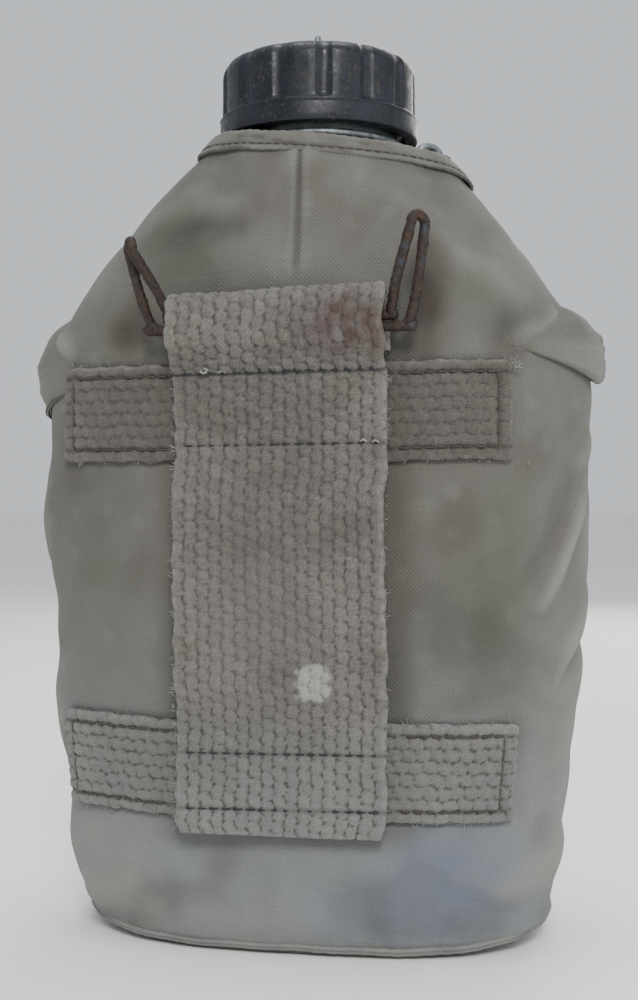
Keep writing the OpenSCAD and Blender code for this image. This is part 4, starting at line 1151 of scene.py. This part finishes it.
def makeFlap(side):
    k = flapLook
    rows, cols = 110, 70
    q = np.linspace(0, 1, rows)[:, None]
    p = np.linspace(0, 1, cols)[None, :]
    edge = k["hinge"] + k["curve"] * (1 - q) ** 2
    inner = k["inner"][0] + (k["inner"][1] - k["inner"][0]) * q
    start = edge - k["sewn"]
    u = start + (inner - start) * p
    z = k["lowZ"] + (k["highZ"] - k["lowZ"]) * q + 0 * p
    z = z + 2.4 * step(0.55, 0.0, q) * (2 * p - 1) ** 2 * step(0.3, 1, p)
    if side == "left":
        u, z = (180 - u)[:, ::-1], z[:, ::-1]
        p = p[:, ::-1]
    past = step(-4, 2, (u - edge) if side == "right" else (180 - u - edge))
    off = k["off"] + cover["canvas"] - 0.85 * (1 - past)
    base = skin(u, z, off)
    cloth = clothOf(base, cols // 2)
    a = cloth[..., 0]
    rim = np.minimum(np.minimum(p, 1 - p) * 40, np.minimum(q, 1 - q) * 60)
    push = 0.25 * ripple(a, z, 22, 171 if side == "right" else 172) * step(0, 4, rim) * past
    push = np.maximum(push, -0.2) - 0.25 * np.exp(-((rim - 3.2) / 0.6) ** 2) * (rim > 0)
    normal = gridNormal(base)
    outer = base + normal * push[..., None]
    under = skin(u, z, off - cover["canvas"])
    tint = paintCanvas(a + 150, z, 60)
    tint = paintOver(tint, canvasLook["worn"], 0.5 * step(1.6, 0.2, rim))
    tint = paintOver(tint, canvasLook["dark"], 0.5 * np.exp(-((rim - 3.2) / 0.5) ** 2))
    piece = sheetMesh(f"flap{side.capitalize()}", outer, under, fadedDuck, cloth, tint)
    sign = 1 if side == "right" else -1
    top, low = np.array(k["hingeTop"]) * (sign, 1, 1), np.array(k["hingeLow"]) * (sign, 1, 1)
    axis = (top - low) / np.linalg.norm(top - low)
    middle = (top + low) / 2
    uMid = 45 if side == "right" else 135
    across = skin(uMid + sign, middle[2]) - skin(uMid - sign, middle[2])
    across = across - axis * (across @ axis)
    across = across / np.linalg.norm(across)
    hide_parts(f"flap_{side}")
    declareCloth(base)
    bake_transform(piece)


makeFlap("right")
makeFlap("left")
print("flaps are made")


# Belt hook: one rusty wire bent into two prongs

hookLook = {"wire": 2.5, "belly": 0.4, "twist": (35, 62), "barHalf": 26.95, "barZ": 154.0,
            "right": (1, 20, 5), "left": (-1, 15, 9)}  # side, rise and reach of each prong


def hookSide(sign, rise, reach, centre):
    inner = np.array([hookLook["barHalf"] - 1, 0, 1.3])
    outer = np.array([hookLook["barHalf"] + 2.8, 0, -1.3])
    tip = np.array([hookLook["barHalf"] + 2, 0, 1.3]) + (5, -reach, rise)
    turn = [tip + (1.9 * math.cos(r), -0.6 * math.sin(r), 2.5 * math.sin(r))
            for r in map(math.radians, range(180, -1, -30))]
    foot, head = inner + (1.2, -0.6, 1.4), outer + (2.1, -0.4, 2.2)
    twist = math.radians(hookLook["twist"][0 if sign > 0 else 1])
    twisted = np.array([math.cos(twist), math.sin(twist), 0])
    turn = [tip + (p[0] - tip[0]) * twisted + (p - tip) * (0, 1, 1) for p in turn]
    points = [inner, foot, (foot * 0.62 + turn[0] * 0.38) + (-hookLook["belly"], 0, 0), *turn,
              (head * 0.62 + turn[-1] * 0.38) + (hookLook["belly"], 0, 0), head, outer + (0.6, 0, 0.4),
              outer + (-1.4, 0, 0)]
    return [centre + np.array(p) * (sign, 1, 1) for p in points]


def makeHook():
    centre = np.array([(belt[0][0] + belt[1][0]) / 2, -beltLook["foldY"], hookLook["barZ"]])
    right = hookSide(*hookLook["right"], centre)
    left = hookSide(*hookLook["left"], centre)
    path = [centre + (0.3, 0, 1.3), *right, *left[::-1], centre + (-0.3, 0, 1.3)]
    path = smoothPath(path, 10)
    at = np.linspace(0, lengthsOf(path)[-1], 520)
    path = pathAt(path, at)
    scale = 0.05 * ripple(at, 0 * at, 5, 181) + 0.035 * ripple(at, 0 * at, 1.6, 182)  # lumps of rust scale
    radius = hookLook["wire"] / 2 * (1 + scale)
    sides = 16
    points, faces = tubeParts(path, radius, sides)
    pit = 1 + 0.03 * ripple(points[:, 0] * 3 + points[:, 1], points[:, 2] * 3, 3, 183)
    middle = np.repeat(path, sides, axis=0)
    points = middle + (points - middle) * pit[:, None]
    fit(makeMesh("beltHookWire", points, faces, rustedWire), "hook", "rusted_wire", "belt_hook")


makeHook()
print("hook is made")


# Screw cap: collar, flutes, rounded top edge and a hole for the rivet

capLook = {"flutes": 14, "fluteDepth": 0.9, "fluteHalf": 2.25, "edgeRound": 4.0, "collarTall": 6.0,
           "sideIn": 0.6, "wallIn": 23.2, "ceilingDown": 2.8, "hole": 1.56}


def makeCap():
    k = capLook
    low, high = boxMm("cap_shell")
    collar = (high[0] - low[0]) / 2
    side, rim, top = collar - k["sideIn"], low[2], high[2]
    ceiling = top - k["ceilingDown"]
    corner = [(side - k["edgeRound"] * (1 - math.cos(r)), top - k["edgeRound"] * (1 - math.sin(r)))
              for r in map(math.radians, range(0, 91, 9))]
    wall = [(side, rim + k["collarTall"] + t * (top - k["edgeRound"] - rim - k["collarTall"]))
            for t in np.linspace(0.06, 0.94, 12)]
    crown = [(r, top - 0.25 * step(21.0, 17.5, r))
             for r in np.linspace(side - k["edgeRound"] - 0.6, k["hole"] + 0.4, 22)]
    inside = [(k["hole"], ceiling), (k["wallIn"] - 0.4, ceiling), (k["wallIn"], ceiling - 0.4),
              (k["wallIn"], rim + 0.4), (k["wallIn"] + 0.3, rim)]
    band = [(collar - 0.6, rim), (collar - 0.15, rim + 0.2), (collar, rim + 0.7), (collar, rim + 2.0),
            (collar, rim + 4.6), (collar - 0.05, rim + 5.2), (collar + 0.12, rim + 5.5),
            (collar - 0.1, rim + 5.85), (side, rim + 6.15)]
    shape = np.array([*inside, *band, *wall, *corner, *crown, (k["hole"], top - 0.3)])
    count = k["flutes"] * 26
    turn = np.linspace(0, 2 * math.pi, count, endpoint=False)
    share = (turn * k["flutes"] / (2 * math.pi) + 0.5) % 1 - 0.5
    across = share * 2 * math.pi / k["flutes"] * side
    cut = k["fluteDepth"] * np.clip(1 - (np.abs(across) / k["fluteHalf"]) ** 2, 0, None)
    blendIn = 0.22 * np.exp(-((np.abs(across) - 2.7) / 0.7) ** 2)
    radius, z = shape[:, 0][:, None] + 0 * turn, shape[:, 1][:, None] + 0 * turn
    inFlute = step(rim + 6.0, rim + 6.6, z) * (shape[:, 0][:, None] > side - k["edgeRound"] - 0.2)
    reachOut = step(side - k["edgeRound"], side - 1.2, radius)
    outside = inFlute * reachOut
    radius = radius - cut * outside - blendIn * 0.3 * outside
    a = turn * collar + 0 * radius
    worn = 0.05 * ripple(a, z, 9, 191) * step(k["wallIn"] + 1, k["wallIn"] + 2, radius)
    radius = radius + worn
    points = np.stack([radius * np.cos(turn), radius * np.sin(turn), z + 0 * radius], -1)
    faces = ringFaces(len(shape), count, True)
    fit(makeMesh("capBody", points.reshape(-1, 3), faces, blackPhenolic), "cap", "cap_plastic", "cap_shell")


makeCap()
print("cap is made")

# CAD parts that keep their shape get their own finishes
for nodeName, material in (("bottle_shell", dullAluminium), ("neck_spout", dullAluminium),
                           ("neck_ring", dullSteelWire), ("chain_lower_links", dullSteelWire),
                           ("cap_swivel", dullSteelWire), ("cap_seal", blackRubber),
                           *((f"chain_link_{i}", dullSteelWire) for i in range(1, 10)),
                           *((f"snap_{part}", darkBrass) for part in (
                               "cap_left", "cap_right", "socket_left", "socket_right", "studs", "washers"))):
    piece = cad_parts[nodeName]
    for place in piece.material_slots:
        place.material = material
